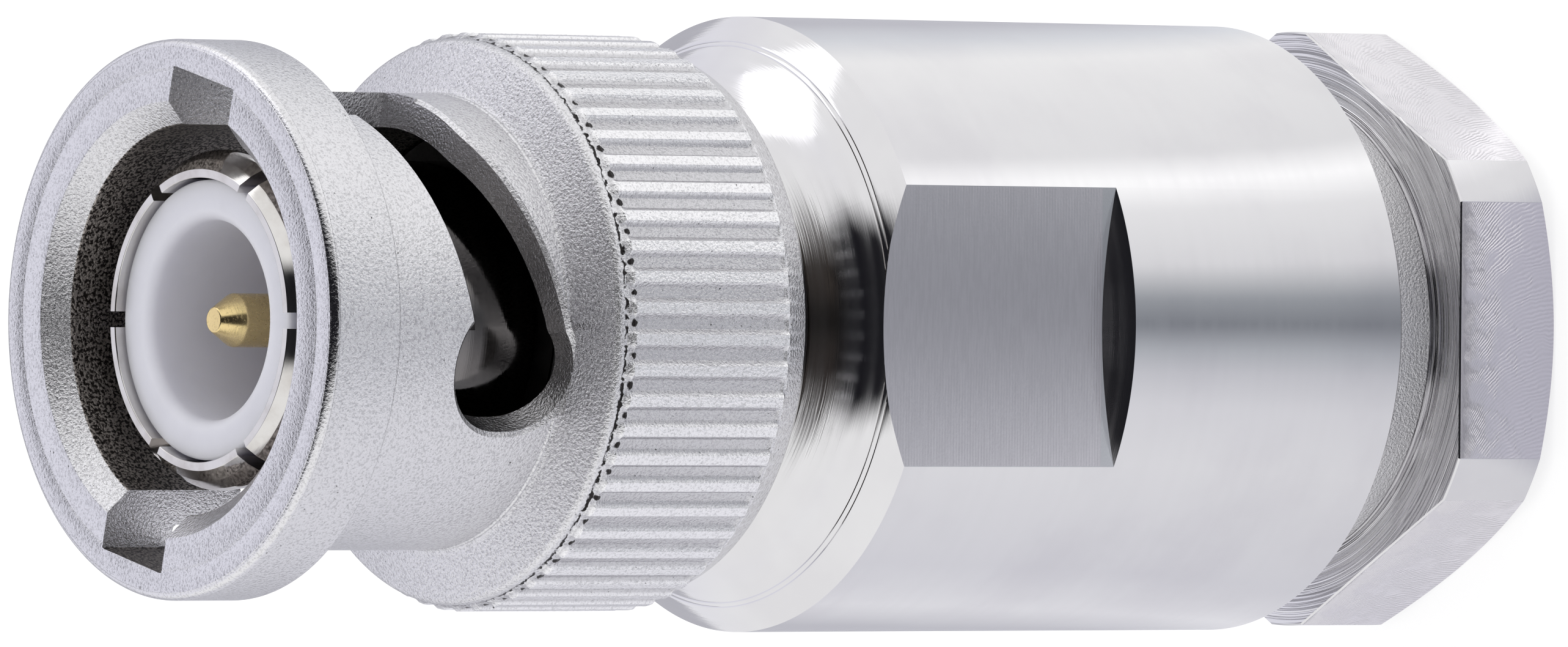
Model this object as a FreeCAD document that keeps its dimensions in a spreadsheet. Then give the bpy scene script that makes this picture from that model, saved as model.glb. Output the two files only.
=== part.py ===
import FreeCAD, Part
import math
import os
import re
import Sketcher
from FreeCAD import Vector

# Coaxial cable plug with a bayonet coupling ring, for a 10.3 mm cable held by a clamp nut.
# It stands on its clamp nut: +Z is the mating end, the nut's rear face lies on z = 0.
# Turned pieces are given by diameters, and by heights above their own rear end.

SIZES = [
    # cable and clamp nut
    ("cable_diameter", 10.3, "jacket of the cable"),
    ("cable_play", 0.2, "clearance all round the jacket in the nut"),
    ("nut_wall", 0.75, "wall of the nut's threaded neck"),
    ("nut_shoulder", 0.9, "step from the neck out to the flats that a wrench holds"),
    ("corner_height", 0.75, "from the hexagon's flats out to its turned corners"),
    ("face_step", 0.15, "how far the rear face stays inside the flats"),
    ("nut_bevel", 30.0, "angle of the rear bevel, degrees"),
    ("nut_length", 3.25, "length of the hexagon"),
    ("relief_depth", 0.3, "depth of the undercut at the foot of the neck"),
    ("relief_length", 0.6, "length of the undercut"),
    ("nut_standoff", 2.5, "gap that the loose nut leaves below the body"),
    ("edge_break", 0.2, "small bevel on turned edges"),
    ("thread_gap", 0.05, "clearance all round between screwed pieces"),
    ("slip_fit", 0.05, "clearance all round of pieces that slide into each other"),
    # plug body
    ("flat_depth", 0.85, "depth of a wrench flat in the body"),
    ("body_length", 15.75, "cylindrical part of the body"),
    ("shoulder_step", 0.55, "how far in the shoulder bevel reaches"),
    ("shoulder_length", 0.5, "length of the shoulder bevel"),
    ("cone_length", 1.1, "length of the steep cone"),
    ("nose_step", 0.25, "how far the short nose stands out round the barrel"),
    ("nose_length", 0.4, "length of the nose"),
    ("flat_length", 6.37, "wrench flat, from the shoulder to its far end wall"),
    ("wall_lean", 0.42, "how far the flat's end wall leans back over its height"),
    ("lip_height", 0.35, "how far in the inner lip reaches past the contact's bore"),
    ("lip_length", 0.8, "thickness of the inner lip"),
    # coupling ring
    ("ring_wall", 0.95, "wall of the ring outside its spring chamber"),
    ("tail_drop", 0.4, "rear end of the ring inside the knurl, all round"),
    ("tail_step", 0.18, "tail inside the knurl where they meet"),
    ("tail_length", 0.95, "smooth tail behind the knurl"),
    ("knurl_count", 58, "grooves in the knurl"),
    ("knurl_depth", 0.14, "depth of a groove"),
    ("groove_top", 0.46, "width of a groove at its mouth"),
    ("groove_floor", 0.30, "width of a groove at its floor"),
    ("rim_step", 0.15, "smooth rim inside the knurl, all round"),
    ("rim_length", 0.25, "length of that rim"),
    ("rise_length", 0.55, "sloping face between neck and rim"),
    ("neck_wall", 0.87, "wall of the neck, where the J-slots are"),
    ("neck_length", 6.07, "length of the neck"),
    ("flange_height", 1.25, "how far the front flange stands out from the neck"),
    ("flange_length", 2.1, "thickness of the flange"),
    ("flange_round", 0.4, "radius of the flange's front edge"),
    ("neck_fillet", 0.5, "radius between the neck and the sloping face"),
    ("ring_play", 0.08, "clearance all round the seal collar in the ring's bore"),
    ("bore_bevel", 0.56, "bevel at the mouth of the bore"),
    ("mouth_depth", 10.15, "bore, from the front face to the shoulder that stops the ring"),
    # bayonet slots
    ("slot_angle", 76.5, "entry groove, degrees round from the side that faces front"),
    ("entry_width", 2.6, "width of the entry groove"),
    ("track_height", 0.45, "how far the entry groove reaches outside the neck"),
    ("track_depth", 6.62, "entry groove, length from the front face"),
    ("cam_front", 3.98, "front edge of the slot where it leaves the groove"),
    ("cam_front_rise", 1.24, "how far that edge runs back per radian of turn"),
    ("cam_rear_rise", 1.55, "how far the rear edge runs back per radian of turn"),
    ("cam_turn", 88.5, "turn from the entry groove to the locking pocket, degrees"),
    ("cam_lead", 20.7, "turn before the rear edge starts to rise, degrees"),
    ("pocket_radius", 1.7, "radius of the locking pocket"),
    ("pocket_start", 6.55, "front centre of the pocket from the front face"),
    ("pocket_end", 6.80, "rear centre of the pocket from the front face"),
    # outer contact
    ("finger_tube", 8.1, "outside of the contact tube"),
    ("finger_wall", 0.5, "wall of the contact tube"),
    ("swell_height", 0.23, "how far the fingers swell out near their tips"),
    ("tip_drop", 0.1, "how far the tips lie inside the tube's outside"),
    ("tube_length", 6.35, "straight part of the contact tube"),
    ("swell_length", 1.8, "taper up to the widest point"),
    ("nose_in_length", 0.55, "from the widest point to the tips"),
    ("finger_count", 6, "spring fingers"),
    ("finger_slot", 0.4, "width of the slots between fingers"),
    ("finger_length", 5.6, "length of the slots"),
    ("seal_height", 0.75, "how far the seal collar stands out from the tube"),
    ("seal_collar_length", 0.5, "thickness of the seal collar"),
    ("insulator_step", 0.7, "step in the bore that the insulator rests on"),
    ("tail_wall", 0.75, "wall of the threaded tail"),
    ("tail_thread_length", 4.65, "length of the tail's thread"),
    ("barrel_step", 0.4, "step from the tail up to the barrel"),
    ("barrel_length", 4.85, "from the body's nose to the spring collar"),
    ("collar_height", 0.9, "how far the spring collar stands out from the barrel"),
    ("spring_collar_length", 0.9, "thickness of the spring collar"),
    # insulators and pin
    ("insulator_setback", 0.24, "insulator face behind the finger tips"),
    ("insulator_body", 4.95, "length of the insulator's thick part"),
    ("recess_wall", 1.0, "wall of the insulator round its recess"),
    ("recess_depth", 4.9, "depth of the recess"),
    ("bead_length", 2.6, "length of the rear insulator"),
    ("bead_setback", 0.1, "rear insulator inside the contact's tail"),
    ("pin_diameter", 1.35, "mating pin"),
    ("pin_taper", 0.365, "how far in the pin's cone reaches"),
    ("pin_cone", 0.6, "length of the pin's cone"),
    ("pin_setback", 0.23, "pin tip behind the insulator's face"),
    ("shank_step", 0.325, "shank round the pin, as far as the floor of the recess"),
    ("collar_step", 0.9, "how far the pin's collar stands out from the shank"),
    ("collar_length", 0.8, "thickness of that collar"),
    ("cup_step", 0.6, "how far the solder cup stands out from the shank"),
    ("cup_wall", 0.4, "wall of the solder cup"),
    ("cup_length", 5.2, "length of the solder cup"),
    ("cup_depth", 4.2, "depth of the cup's bore"),
    ("solder_hole", 0.8, "sight hole in the side of the cup"),
    # spring pack and seal
    ("gasket_length", 0.6, "thickness of the face gasket"),
    ("wave_stock", 0.25, "thickness of the spring washers' strip"),
    ("wave_height", 0.95, "free height of a spring washer"),
    ("wave_count", 3, "waves round a spring washer"),
    ("washer_play", 0.1, "clearance all round the barrel in the washers"),
    ("thrust_length", 0.4, "thickness of the thrust washer"),
    ("snap_play", 0.4, "clearance all round the barrel in the retaining ring"),
    ("snap_grip", 0.25, "how far the retaining ring reaches into the coupling ring"),
    ("snap_length", 0.8, "thickness of the retaining ring"),
    ("snap_gap", 2.0, "gap in the retaining ring"),
    ("snap_margin", 0.8, "end of the coupling ring behind the retaining ring"),
    # cable clamp
    ("clamp_play", 0.1, "clearance of the clamp in the body, all round and above it"),
    ("jacket_wall", 0.95, "jacket of the cable, which the braid clamp's bore leaves out"),
    ("clamp_flange_length", 1.6, "length of the braid clamp's flange"),
    ("clamp_step", 0.45, "step from the flange in to the clamp's nose"),
    ("clamp_nose_wall", 0.5, "wall at the end of the nose"),
    ("clamp_nose_length", 2.7, "length of the nose"),
    ("bite_width", 0.4, "width of the biting edge at its root"),
    ("bite_height", 0.4, "height of the biting edge"),
    ("gasket_sleeve", 4.6, "length of the V-gasket"),
    ("slip_washer_length", 0.85, "thickness of the slip washer"),
]

doc = FreeCAD.newDocument("coaxial_plug")
sheet = doc.addObject("Spreadsheet::Sheet", "Sizes")
for row, (alias, number, note) in enumerate(SIZES, start=1):
    sheet.set(f"A{row}", note)
    sheet.set(f"B{row}", str(number))
    sheet.setAlias(f"B{row}", alias)
doc.recompute()


def bound(formula):
    """A formula of size names as an expression that reads the sheet."""
    return re.sub(r"\b[a-z][a-z_]*\b(?!\()", r"Sizes.\g<0>", formula)


def size(formula):
    """The number that a size, or a formula of sizes, has in the sheet."""
    return float(sheet.evalExpression(bound(formula)))


# Diameters that follow from the cable, for the nut, the body and the clamp
CABLE_BORE = "(cable_diameter + 2 * cable_play)"
NUT_THREAD = f"({CABLE_BORE} + 2 * nut_wall)"
WRENCH = f"({NUT_THREAD} + 2 * nut_shoulder)"
NUT_CORNER = f"({WRENCH} + 2 * corner_height)"
CAVITY = f"({NUT_THREAD} + 2 * thread_gap)"
BODY_DIAMETER = f"({WRENCH} + 2 * flat_depth)"

# Diameters that follow from the contact tube, for everything inside and round it
FINGER_BORE = "(finger_tube - 2 * finger_wall)"
REAR_BORE = f"({FINGER_BORE} + 2 * insulator_step)"
TAIL_THREAD = f"({REAR_BORE} + 2 * tail_wall)"
BARREL = f"({TAIL_THREAD} + 2 * barrel_step)"
SPRING_COLLAR = f"({BARREL} + 2 * collar_height)"
SEAL_COLLAR = "(finger_tube + 2 * seal_height)"
RING_BORE = f"({SEAL_COLLAR} + 2 * ring_play)"
COUNTERBORE = f"({SPRING_COLLAR} + 2 * slip_fit)"
KNURL = f"({COUNTERBORE} + 2 * ring_wall)"
NECK = f"({RING_BORE} + 2 * neck_wall)"
FLANGE = f"({NECK} + 2 * flange_height)"
SNAP_OUTER = f"({COUNTERBORE} + 2 * snap_grip)"
WASHER_INNER = f"({BARREL} + 2 * washer_play)"
WASHER_OUTER = f"({SPRING_COLLAR} - 2 * slip_fit)"

# Heights of the pieces' rear ends in the assembled plug
BODY_FOOT = "nut_length + nut_standoff"
CONE_FOOT = BODY_FOOT + " + body_length + shoulder_length + cone_length"
CAVITY_DEPTH = ("(body_length + shoulder_length + cone_length + nose_length"
                " - tail_thread_length - slip_fit - lip_length)")
CLAMP_FOOT = (f"{BODY_FOOT} + {CAVITY_DEPTH} - clamp_play - clamp_nose_length"
              " - clamp_flange_length - bite_height")
SLEEVE_FOOT = CLAMP_FOOT + " + bite_height - gasket_sleeve"
WASHER_FOOT = SLEEVE_FOOT + " - slip_washer_length"
CONTACT_FOOT = CONE_FOOT + " + nose_length - tail_thread_length"
CONTACT_LENGTH = ("tail_thread_length + barrel_length + spring_collar_length + seal_collar_length"
                  " + tube_length + swell_length + nose_in_length")
COLLAR_FOOT = "tail_thread_length + barrel_length"
CHAMBER = ("(spring_collar_length + 2 * wave_height + thrust_length + snap_length"
           " + snap_margin)")
RING_LENGTH = f"({CHAMBER} + mouth_depth)"
RING_FOOT = f"{CONTACT_FOOT} + {COLLAR_FOOT} + spring_collar_length - {CHAMBER}"


def origin_feature(body, role):
    """One of a body's own planes or axes."""
    return [item for item in body.Origin.OriginFeatures if item.Role == role][0]


def place(piece, foot):
    """Stands a piece on its height in the plug."""
    piece.setExpression("Placement.Base.z", bound(foot))


def sketch_on(body, role, name):
    sketch = body.newObject("Sketcher::SketchObject", name)
    sketch.AttachmentSupport = [(origin_feature(body, role), "")]
    sketch.MapMode = "FlatFace"
    return sketch


def closed_outline(sketch, corners):
    """Closed outline of straight lines, each corner at a pair of formulas for its x and y.

    A third formula rounds the corner with an arc of that radius.
    """
    count = len(corners)
    points = [Vector(size(corner[0]), size(corner[1]), 0) for corner in corners]
    starts, ends = list(points), list(points)
    arcs = {}
    for i, corner in enumerate(corners):
        if len(corner) < 3:
            continue
        back = (points[i - 1] - points[i]).normalize()
        ahead = (points[(i + 1) % count] - points[i]).normalize()
        half_angle = back.getAngle(ahead) / 2
        radius = size(corner[2])
        center = points[i] + (back + ahead).normalize() * (radius / math.sin(half_angle))
        ends[i] = points[i] + back * (radius / math.tan(half_angle))
        starts[i] = points[i] + ahead * (radius / math.tan(half_angle))
        arcs[i] = Part.Arc(ends[i], center + (points[i] - center).normalize() * radius, starts[i])
    for i in range(count):
        sketch.addGeometry(Part.LineSegment(starts[i], ends[(i + 1) % count]), False)
    for i, corner in enumerate(corners):
        before = (i - 1) % count
        if i in arcs:
            arc = sketch.addGeometry(arcs[i], False)
            first, last = (1, 2) if sketch.getPoint(arc, 1).isEqual(ends[i], 1e-6) else (2, 1)
            sketch.addConstraint(Sketcher.Constraint("Tangent", before, 2, arc, first))
            sketch.addConstraint(Sketcher.Constraint("Tangent", arc, last, i, 1))
            radius = sketch.addConstraint(Sketcher.Constraint("Radius", arc, size(corner[2])))
            sketch.setExpression(f"Constraints[{radius}]", bound(corner[2]))
            held = sketch.addGeometry(Part.Point(points[i]), True)
            sketch.addConstraint(Sketcher.Constraint("PointOnObject", held, 1, before))
            sketch.addConstraint(Sketcher.Constraint("PointOnObject", held, 1, i))
        else:
            held = i
            sketch.addConstraint(Sketcher.Constraint("Coincident", before, 2, i, 1))
        for kind, formula, axis in (("DistanceX", corner[0], -2), ("DistanceY", corner[1], -1)):
            if formula == "0":
                sketch.addConstraint(Sketcher.Constraint("PointOnObject", held, 1, axis))
                continue
            number = sketch.addConstraint(Sketcher.Constraint(kind, -1, 1, held, 1, size(formula)))
            sketch.setExpression(f"Constraints[{number}]", bound(formula))


def revolve(body, name, outline):
    """Adds a turned solid; each corner of the outline has a diameter, a height and any radius."""
    sketch = sketch_on(body, "XZ_Plane", name + "_profile")
    closed_outline(sketch, [("0" if across == "0" else f"({across}) / 2", *rest)
                            for across, *rest in outline])
    turned = body.newObject("PartDesign::Revolution", name + "_turned")
    turned.Profile = sketch
    turned.ReferenceAxis = (sketch, ["V_Axis"])
    turned.Angle = 360
    sketch.Visibility = False
    doc.recompute()
    return turned


def new_body(label):
    body = doc.addObject("PartDesign::Body", label)
    body.Label = label
    return body


def turned_piece(label, outline, foot):
    body = new_body(label)
    revolve(body, label, outline)
    place(body, foot)
    return body


def cut_pattern(body, name, corners, plane, depth, reverse, count):
    """Cuts a straight-sided outline to a depth and repeats the cut round the axis."""
    sketch = sketch_on(body, plane, name + "_outline")
    closed_outline(sketch, corners)
    pocket = body.newObject("PartDesign::Pocket", name)
    pocket.Profile = sketch
    pocket.Reversed = reverse
    pocket.setExpression("Length", bound(depth))
    sketch.Visibility = False
    doc.recompute()
    pattern = body.newObject("PartDesign::PolarPattern", name + "_pattern")
    pattern.Originals = [pocket]
    pattern.Axis = (origin_feature(body, "Z_Axis"), [""])
    pattern.Angle = 360
    pattern.setExpression("Occurrences", bound(count))
    body.Tip = pattern
    doc.recompute()
    return sketch


def ruled_solid(curves, closed):
    """Solid between four curves that run side by side and share one parameter.

    Each curve is a list of points; closed curves make a ring, open ones get flat ends.
    """
    edges = []
    for points in curves:
        curve = Part.BSplineCurve()
        if closed:
            curve.interpolate(Points=points, PeriodicFlag=True)
        else:
            curve.interpolate(Points=points)
        edges.append(curve.toShape())
    faces = [Part.makeRuledSurface(edges[i], edges[(i + 1) % 4]) for i in range(4)]
    if not closed:
        for end in (0, -1):
            ends = [points[end] for points in curves]
            faces.append(Part.Face(Part.makePolygon(ends + ends[:1])))
    shell = Part.makeShell(faces)
    shell.sewShape()
    solid = Part.Solid(shell)
    if solid.Volume < 0:
        solid.reverse()
    return solid


def on_cylinder(radius, angle, height):
    """A point of a cylinder; the angle is measured from the front, -Y, towards +X."""
    return Vector(radius * math.sin(angle), -radius * math.cos(angle), height)


# Clamp nut: hexagon with a rear bevel, hollow neck with an undercut at its foot

nut = new_body("clamp_nut")
NUT_FACE = f"({WRENCH} - 2 * face_step)"
NUT_RELIEF = f"({NUT_THREAD} - 2 * relief_depth)"
revolve(nut, "nut", [
    (CABLE_BORE + " + 2 * edge_break", "0"),
    (NUT_FACE, "0"),
    (NUT_CORNER, f"({NUT_CORNER} - {NUT_FACE}) / 2 * tan(nut_bevel)"),
    (NUT_CORNER, "nut_length"),
    (NUT_RELIEF, "nut_length"),
    (NUT_RELIEF, "nut_length + relief_length"),
    (NUT_THREAD, "nut_length + relief_length + relief_depth"),
    (NUT_THREAD, WASHER_FOOT + " - edge_break"),
    (NUT_THREAD + " - 2 * edge_break", WASHER_FOOT),
    (CABLE_BORE, WASHER_FOOT),
    (CABLE_BORE, "edge_break"),
])
cut_pattern(nut, "nut_flat", [
    (f"-{NUT_CORNER} / 2", f"-{WRENCH} / 2"), (f"-{NUT_CORNER} / 2", f"-{NUT_CORNER}"),
    (f"{NUT_CORNER} / 2", f"-{NUT_CORNER}"), (f"{NUT_CORNER} / 2", f"-{WRENCH} / 2"),
], "XY_Plane", "nut_length", True, "6")

# Plug body: the flats are milled first, then the rear part is turned back on,
# so that each flat ends in a wall that follows the body round

body = new_body("plug_body")
CONE_EDGE = "body_length + shoulder_length"
NOSE_FOOT = CONE_EDGE + " + cone_length"
NOSE_TOP = NOSE_FOOT + " + nose_length"
BODY_THREAD = f"{TAIL_THREAD} + 2 * thread_gap"
NOSE = f"{BARREL} + 2 * nose_step"
LIP_BORE = f"{REAR_BORE} - 2 * lip_height"
revolve(body, "shell", [
    (CAVITY + " + 2 * edge_break", "0"),
    (BODY_DIAMETER + " - 2 * edge_break", "0"),
    (BODY_DIAMETER, "edge_break"),
    (BODY_DIAMETER, "body_length"),
    (BODY_DIAMETER + " - 2 * shoulder_step", CONE_EDGE),
    (NOSE, NOSE_FOOT),
    (NOSE, NOSE_TOP),
    (BODY_THREAD, NOSE_TOP),
    (BODY_THREAD, CAVITY_DEPTH + " + lip_length"),
    (LIP_BORE, CAVITY_DEPTH + " + lip_length"),
    (LIP_BORE, CAVITY_DEPTH),
    (CAVITY, CAVITY_DEPTH),
    (CAVITY, "edge_break"),
])
WALL_RIM = "(body_length - flat_length - wall_lean)"
FLAT_FOOT = f"({WALL_RIM} - wall_lean)"
flat_sketch = cut_pattern(body, "wrench_flat", [
    (f"-{BODY_DIAMETER}", FLAT_FOOT), (BODY_DIAMETER, FLAT_FOOT),
    (BODY_DIAMETER, NOSE_FOOT), (f"-{BODY_DIAMETER}", NOSE_FOOT),
], "XZ_Plane", BODY_DIAMETER, True, "2")
flat_sketch.setExpression("AttachmentOffset.Base.z", bound(WRENCH + " / 2"))
doc.recompute()
WALL_CORE = f"(({CAVITY} + {WRENCH}) / 2)"
revolve(body, "rear_part", [
    (WALL_CORE, FLAT_FOOT + " - wall_lean"),
    (BODY_DIAMETER, FLAT_FOOT + " - wall_lean"),
    (BODY_DIAMETER, WALL_RIM),
    (WALL_CORE, f"{WALL_RIM} + ({BODY_DIAMETER} - {WALL_CORE}) / 2 * wall_lean / flat_depth"),
])
place(body, BODY_FOOT)

# Coupling ring: cast blank, then the knurl and the two bayonet slots

blank = new_body("ring_blank")
NECK_TOP = f"({RING_LENGTH} - flange_length)"
NECK_FOOT = f"({NECK_TOP} - neck_length)"
KNURL_TOP = f"({NECK_FOOT} - rise_length - rim_length)"
RIM = f"{KNURL} - 2 * rim_step"
TAIL_END = f"{KNURL} - 2 * tail_drop"
SNAP_GROOVE = f"{SNAP_OUTER} + 2 * slip_fit"
revolve(blank, "ring", [
    (COUNTERBORE + " + 2 * edge_break", "0"),
    (TAIL_END + " - 2 * edge_break", "0"),
    (TAIL_END, "edge_break"),
    (f"{KNURL} - 2 * tail_step", "tail_length - edge_break"),
    (KNURL, "tail_length"),
    (KNURL, KNURL_TOP + " - edge_break"),
    (RIM, KNURL_TOP),
    (RIM, KNURL_TOP + " + rim_length"),
    (NECK, NECK_FOOT, "neck_fillet"),
    (NECK, NECK_TOP),
    (FLANGE, NECK_TOP),
    (FLANGE, RING_LENGTH, "flange_round"),
    (RING_BORE + " + 2 * bore_bevel", RING_LENGTH),
    (RING_BORE, RING_LENGTH + " - bore_bevel"),
    (RING_BORE, CHAMBER),
    (COUNTERBORE, CHAMBER),
    (COUNTERBORE, "snap_margin + snap_length"),
    (SNAP_GROOVE, "snap_margin + snap_length"),
    (SNAP_GROOVE, "snap_margin"),
    (COUNTERBORE, "snap_margin"),
    (COUNTERBORE, "edge_break"),
])
cut_pattern(blank, "knurl_groove", [
    ("-groove_floor / 2", f"knurl_depth - {KNURL} / 2"),
    ("groove_floor / 2", f"knurl_depth - {KNURL} / 2"),
    ("groove_top - groove_floor / 2", f"-knurl_depth - {KNURL} / 2"),
    ("groove_floor / 2 - groove_top", f"-knurl_depth - {KNURL} / 2"),
], "XY_Plane", KNURL_TOP, True, "knurl_count")

EDGE_STEPS = 8


def bayonet_slot():
    """One J-slot: entry groove, rising cam track and locking pocket, radial walls."""
    front = size(RING_LENGTH)
    neck = size(NECK) / 2
    outer = neck + size("track_height")
    inner = size("finger_tube / 2")
    start = math.radians(size("slot_angle"))
    pocket = start - math.radians(size("cam_turn"))
    lead = start - math.radians(size("cam_lead"))
    half = size("entry_width") / 2 / neck

    def front_edge(angle):
        return front - size("cam_front") - size("cam_front_rise") * (start - half - angle)

    def rear_edge(angle):
        return front - size("track_depth") - size("cam_rear_rise") * max(0.0, lead - angle)

    def track(first, last):
        angles = [first + (last - first) * i / EDGE_STEPS for i in range(EDGE_STEPS + 1)]
        return ruled_solid([
            [on_cylinder(inner, angle, front_edge(angle)) for angle in angles],
            [on_cylinder(outer, angle, front_edge(angle)) for angle in angles],
            [on_cylinder(outer, angle, rear_edge(angle)) for angle in angles],
            [on_cylinder(inner, angle, rear_edge(angle)) for angle in angles],
        ], closed=False)

    width, foot = size("entry_width"), front - size("track_depth")
    length = size("track_depth + edge_break")
    groove = Part.makeBox(width, outer + width - inner, length, Vector(-width / 2, -outer - width, foot))
    groove.rotate(Vector(0, 0, 0), Vector(0, 0, 1), math.degrees(start))
    groove = groove.common(Part.makeCylinder(outer, length, Vector(0, 0, foot)))
    out = on_cylinder(1, pocket, 0)
    wells = []
    for name in ("pocket_start", "pocket_end"):
        mouth = out * inner + Vector(0, 0, front - size(name))
        wells.append(Part.makeCylinder(size("pocket_radius"), outer - inner, mouth, out))
    return [groove, track(start, lead), track(lead, pocket)] + wells


cutters = bayonet_slot()
opposite = [cutter.copy() for cutter in cutters]
for cutter in opposite:
    cutter.rotate(Vector(0, 0, 0), Vector(0, 0, 1), 180)
slots = doc.addObject("Part::Feature", "bayonet_slots")
slots.Label = "bayonet_slots"
slots.Shape = Part.makeCompound(cutters + opposite)
coupling_ring = doc.addObject("Part::Cut", "coupling_ring")
coupling_ring.Label = "coupling_ring"
coupling_ring.Base = blank
coupling_ring.Tool = slots
place(coupling_ring, RING_FOOT)
doc.recompute()

# Outer contact: thread tail, barrel, spring collar, seal collar and six sprung fingers

contact = new_body("outer_contact")
SEAL_FOOT = COLLAR_FOOT + " + spring_collar_length"
SEAL_TOP = SEAL_FOOT + " + seal_collar_length"
SWELL_FOOT = SEAL_TOP + " + tube_length"
REAR_BORE_DEPTH = "(bead_setback + bead_length + collar_length + insulator_body + slip_fit)"
revolve(contact, "contact", [
    (REAR_BORE, "0"),
    (TAIL_THREAD + " - 2 * edge_break", "0"),
    (TAIL_THREAD, "edge_break"),
    (TAIL_THREAD, "tail_thread_length"),
    (BARREL, "tail_thread_length"),
    (BARREL, COLLAR_FOOT),
    (SPRING_COLLAR, COLLAR_FOOT),
    (SPRING_COLLAR, SEAL_FOOT),
    (SEAL_COLLAR, SEAL_FOOT),
    (SEAL_COLLAR, SEAL_TOP),
    ("finger_tube", SEAL_TOP),
    ("finger_tube", SWELL_FOOT),
    ("finger_tube + 2 * swell_height", SWELL_FOOT + " + swell_length"),
    ("finger_tube - 2 * tip_drop", CONTACT_LENGTH),
    (FINGER_BORE, CONTACT_LENGTH),
    (FINGER_BORE, REAR_BORE_DEPTH),
    (REAR_BORE, REAR_BORE_DEPTH),
])
cut_pattern(contact, "finger_slit", [
    ("-finger_slot / 2", CONTACT_LENGTH + " - finger_length"),
    ("finger_slot / 2", CONTACT_LENGTH + " - finger_length"),
    ("finger_slot / 2", CONTACT_LENGTH + " + finger_slot"),
    ("-finger_slot / 2", CONTACT_LENGTH + " + finger_slot"),
], "XZ_Plane", "finger_tube", False, "finger_count")
place(contact, CONTACT_FOOT)

# Insulators

BEAD_FOOT = CONTACT_FOOT + " + bead_setback"
INSULATOR_FOOT = BEAD_FOOT + " + bead_length + collar_length"
INSULATOR_LENGTH = (f"({CONTACT_LENGTH} - bead_setback - bead_length - collar_length"
                    " - insulator_setback)")
PLUG_FIT = f"{REAR_BORE} - 2 * slip_fit"
STEM = f"({FINGER_BORE} - 2 * slip_fit)"
RECESS = f"{STEM} - 2 * recess_wall"
RECESS_FLOOR = f"{INSULATOR_LENGTH} - recess_depth"
SHANK = "(pin_diameter + 2 * shank_step)"
SHANK_HOLE = f"{SHANK} + 2 * slip_fit"
CUP = f"({SHANK} + 2 * cup_step)"
CUP_HOLE = f"{CUP} + 2 * slip_fit"
turned_piece("front_insulator", [
    (SHANK_HOLE, "0"), (PLUG_FIT, "0"),
    (PLUG_FIT, "insulator_body"), (STEM, "insulator_body"),
    (STEM, INSULATOR_LENGTH), (RECESS, INSULATOR_LENGTH),
    (RECESS, RECESS_FLOOR), (SHANK_HOLE, RECESS_FLOOR),
], INSULATOR_FOOT)
turned_piece("rear_insulator", [
    (CUP_HOLE, "0"), (PLUG_FIT, "0"), (PLUG_FIT, "bead_length"), (CUP_HOLE, "bead_length"),
], BEAD_FOOT)

# Centre pin: solder cup with a sight hole, collar, shank and mating pin

pin = new_body("center_pin")
COLLAR_TOP = "cup_length + collar_length"
PIN_LENGTH = f"({COLLAR_TOP} + {INSULATOR_LENGTH} - pin_setback)"
SHANK_TOP = f"{PIN_LENGTH} + pin_setback - recess_depth"
PIN_COLLAR = f"{SHANK} + 2 * collar_step"
CUP_BORE = f"{CUP} - 2 * cup_wall"
revolve(pin, "pin", [
    (CUP_BORE, "0"),
    (CUP, "0"),
    (CUP, "cup_length"),
    (PIN_COLLAR, "cup_length"),
    (PIN_COLLAR, COLLAR_TOP),
    (SHANK, COLLAR_TOP),
    (SHANK, SHANK_TOP),
    ("pin_diameter", SHANK_TOP),
    ("pin_diameter", PIN_LENGTH + " - pin_cone"),
    ("pin_diameter - 2 * pin_taper", PIN_LENGTH),
    ("0", PIN_LENGTH),
    ("0", "cup_depth"),
    (CUP_BORE, "cup_depth"),
])
HOLE_FOOT = "cup_depth - 1.5 * solder_hole"
cut_pattern(pin, "sight_hole", [
    ("-solder_hole / 2", HOLE_FOOT), ("solder_hole / 2", HOLE_FOOT),
    ("solder_hole / 2", HOLE_FOOT + " + solder_hole"), ("-solder_hole / 2", HOLE_FOOT + " + solder_hole"),
], "XZ_Plane", CUP, False, "1")
place(pin, INSULATOR_FOOT + f" - ({COLLAR_TOP})")

# Gasket, washers and retaining ring inside the coupling ring

turned_piece("face_gasket", [
    ("finger_tube + 2 * slip_fit", "0"), (SEAL_COLLAR, "0"),
    (SEAL_COLLAR, "gasket_length"), ("finger_tube + 2 * slip_fit", "gasket_length"),
], f"{CONTACT_FOOT} + {SEAL_TOP}")


def wave_washer(phase):
    """A spring washer of flat strip, waved up and down round the ring."""
    inner, outer = size(WASHER_INNER) / 2, size(WASHER_OUTER) / 2
    stock = size("wave_stock")
    rise = size("(wave_height - wave_stock) / 2")
    waves = round(size("wave_count"))
    steps = EDGE_STEPS * waves
    turns = [2 * math.pi * i / steps for i in range(steps)]

    def loop(radius, side):
        middle = size("wave_height / 2") + side * stock / 2
        return [on_cylinder(radius, turn, middle + rise * math.cos(waves * turn + phase))
                for turn in turns]

    return ruled_solid([loop(inner, -1), loop(outer, -1), loop(outer, 1), loop(inner, 1)], closed=True)


SPRING_FOOT = f"{CONTACT_FOOT} + {COLLAR_FOOT}"
for label, phase, below in (("wave_washer_front", 0.0, 1), ("wave_washer_rear", math.pi, 2)):
    washer = doc.addObject("Part::Feature", label)
    washer.Label = label
    washer.Shape = wave_washer(phase)
    place(washer, f"{SPRING_FOOT} - {below} * wave_height")

THRUST_FOOT = SPRING_FOOT + " - 2 * wave_height - thrust_length"
turned_piece("thrust_washer", [
    (WASHER_INNER, "0"), (WASHER_OUTER, "0"),
    (WASHER_OUTER, "thrust_length"), (WASHER_INNER, "thrust_length"),
], THRUST_FOOT)

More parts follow.
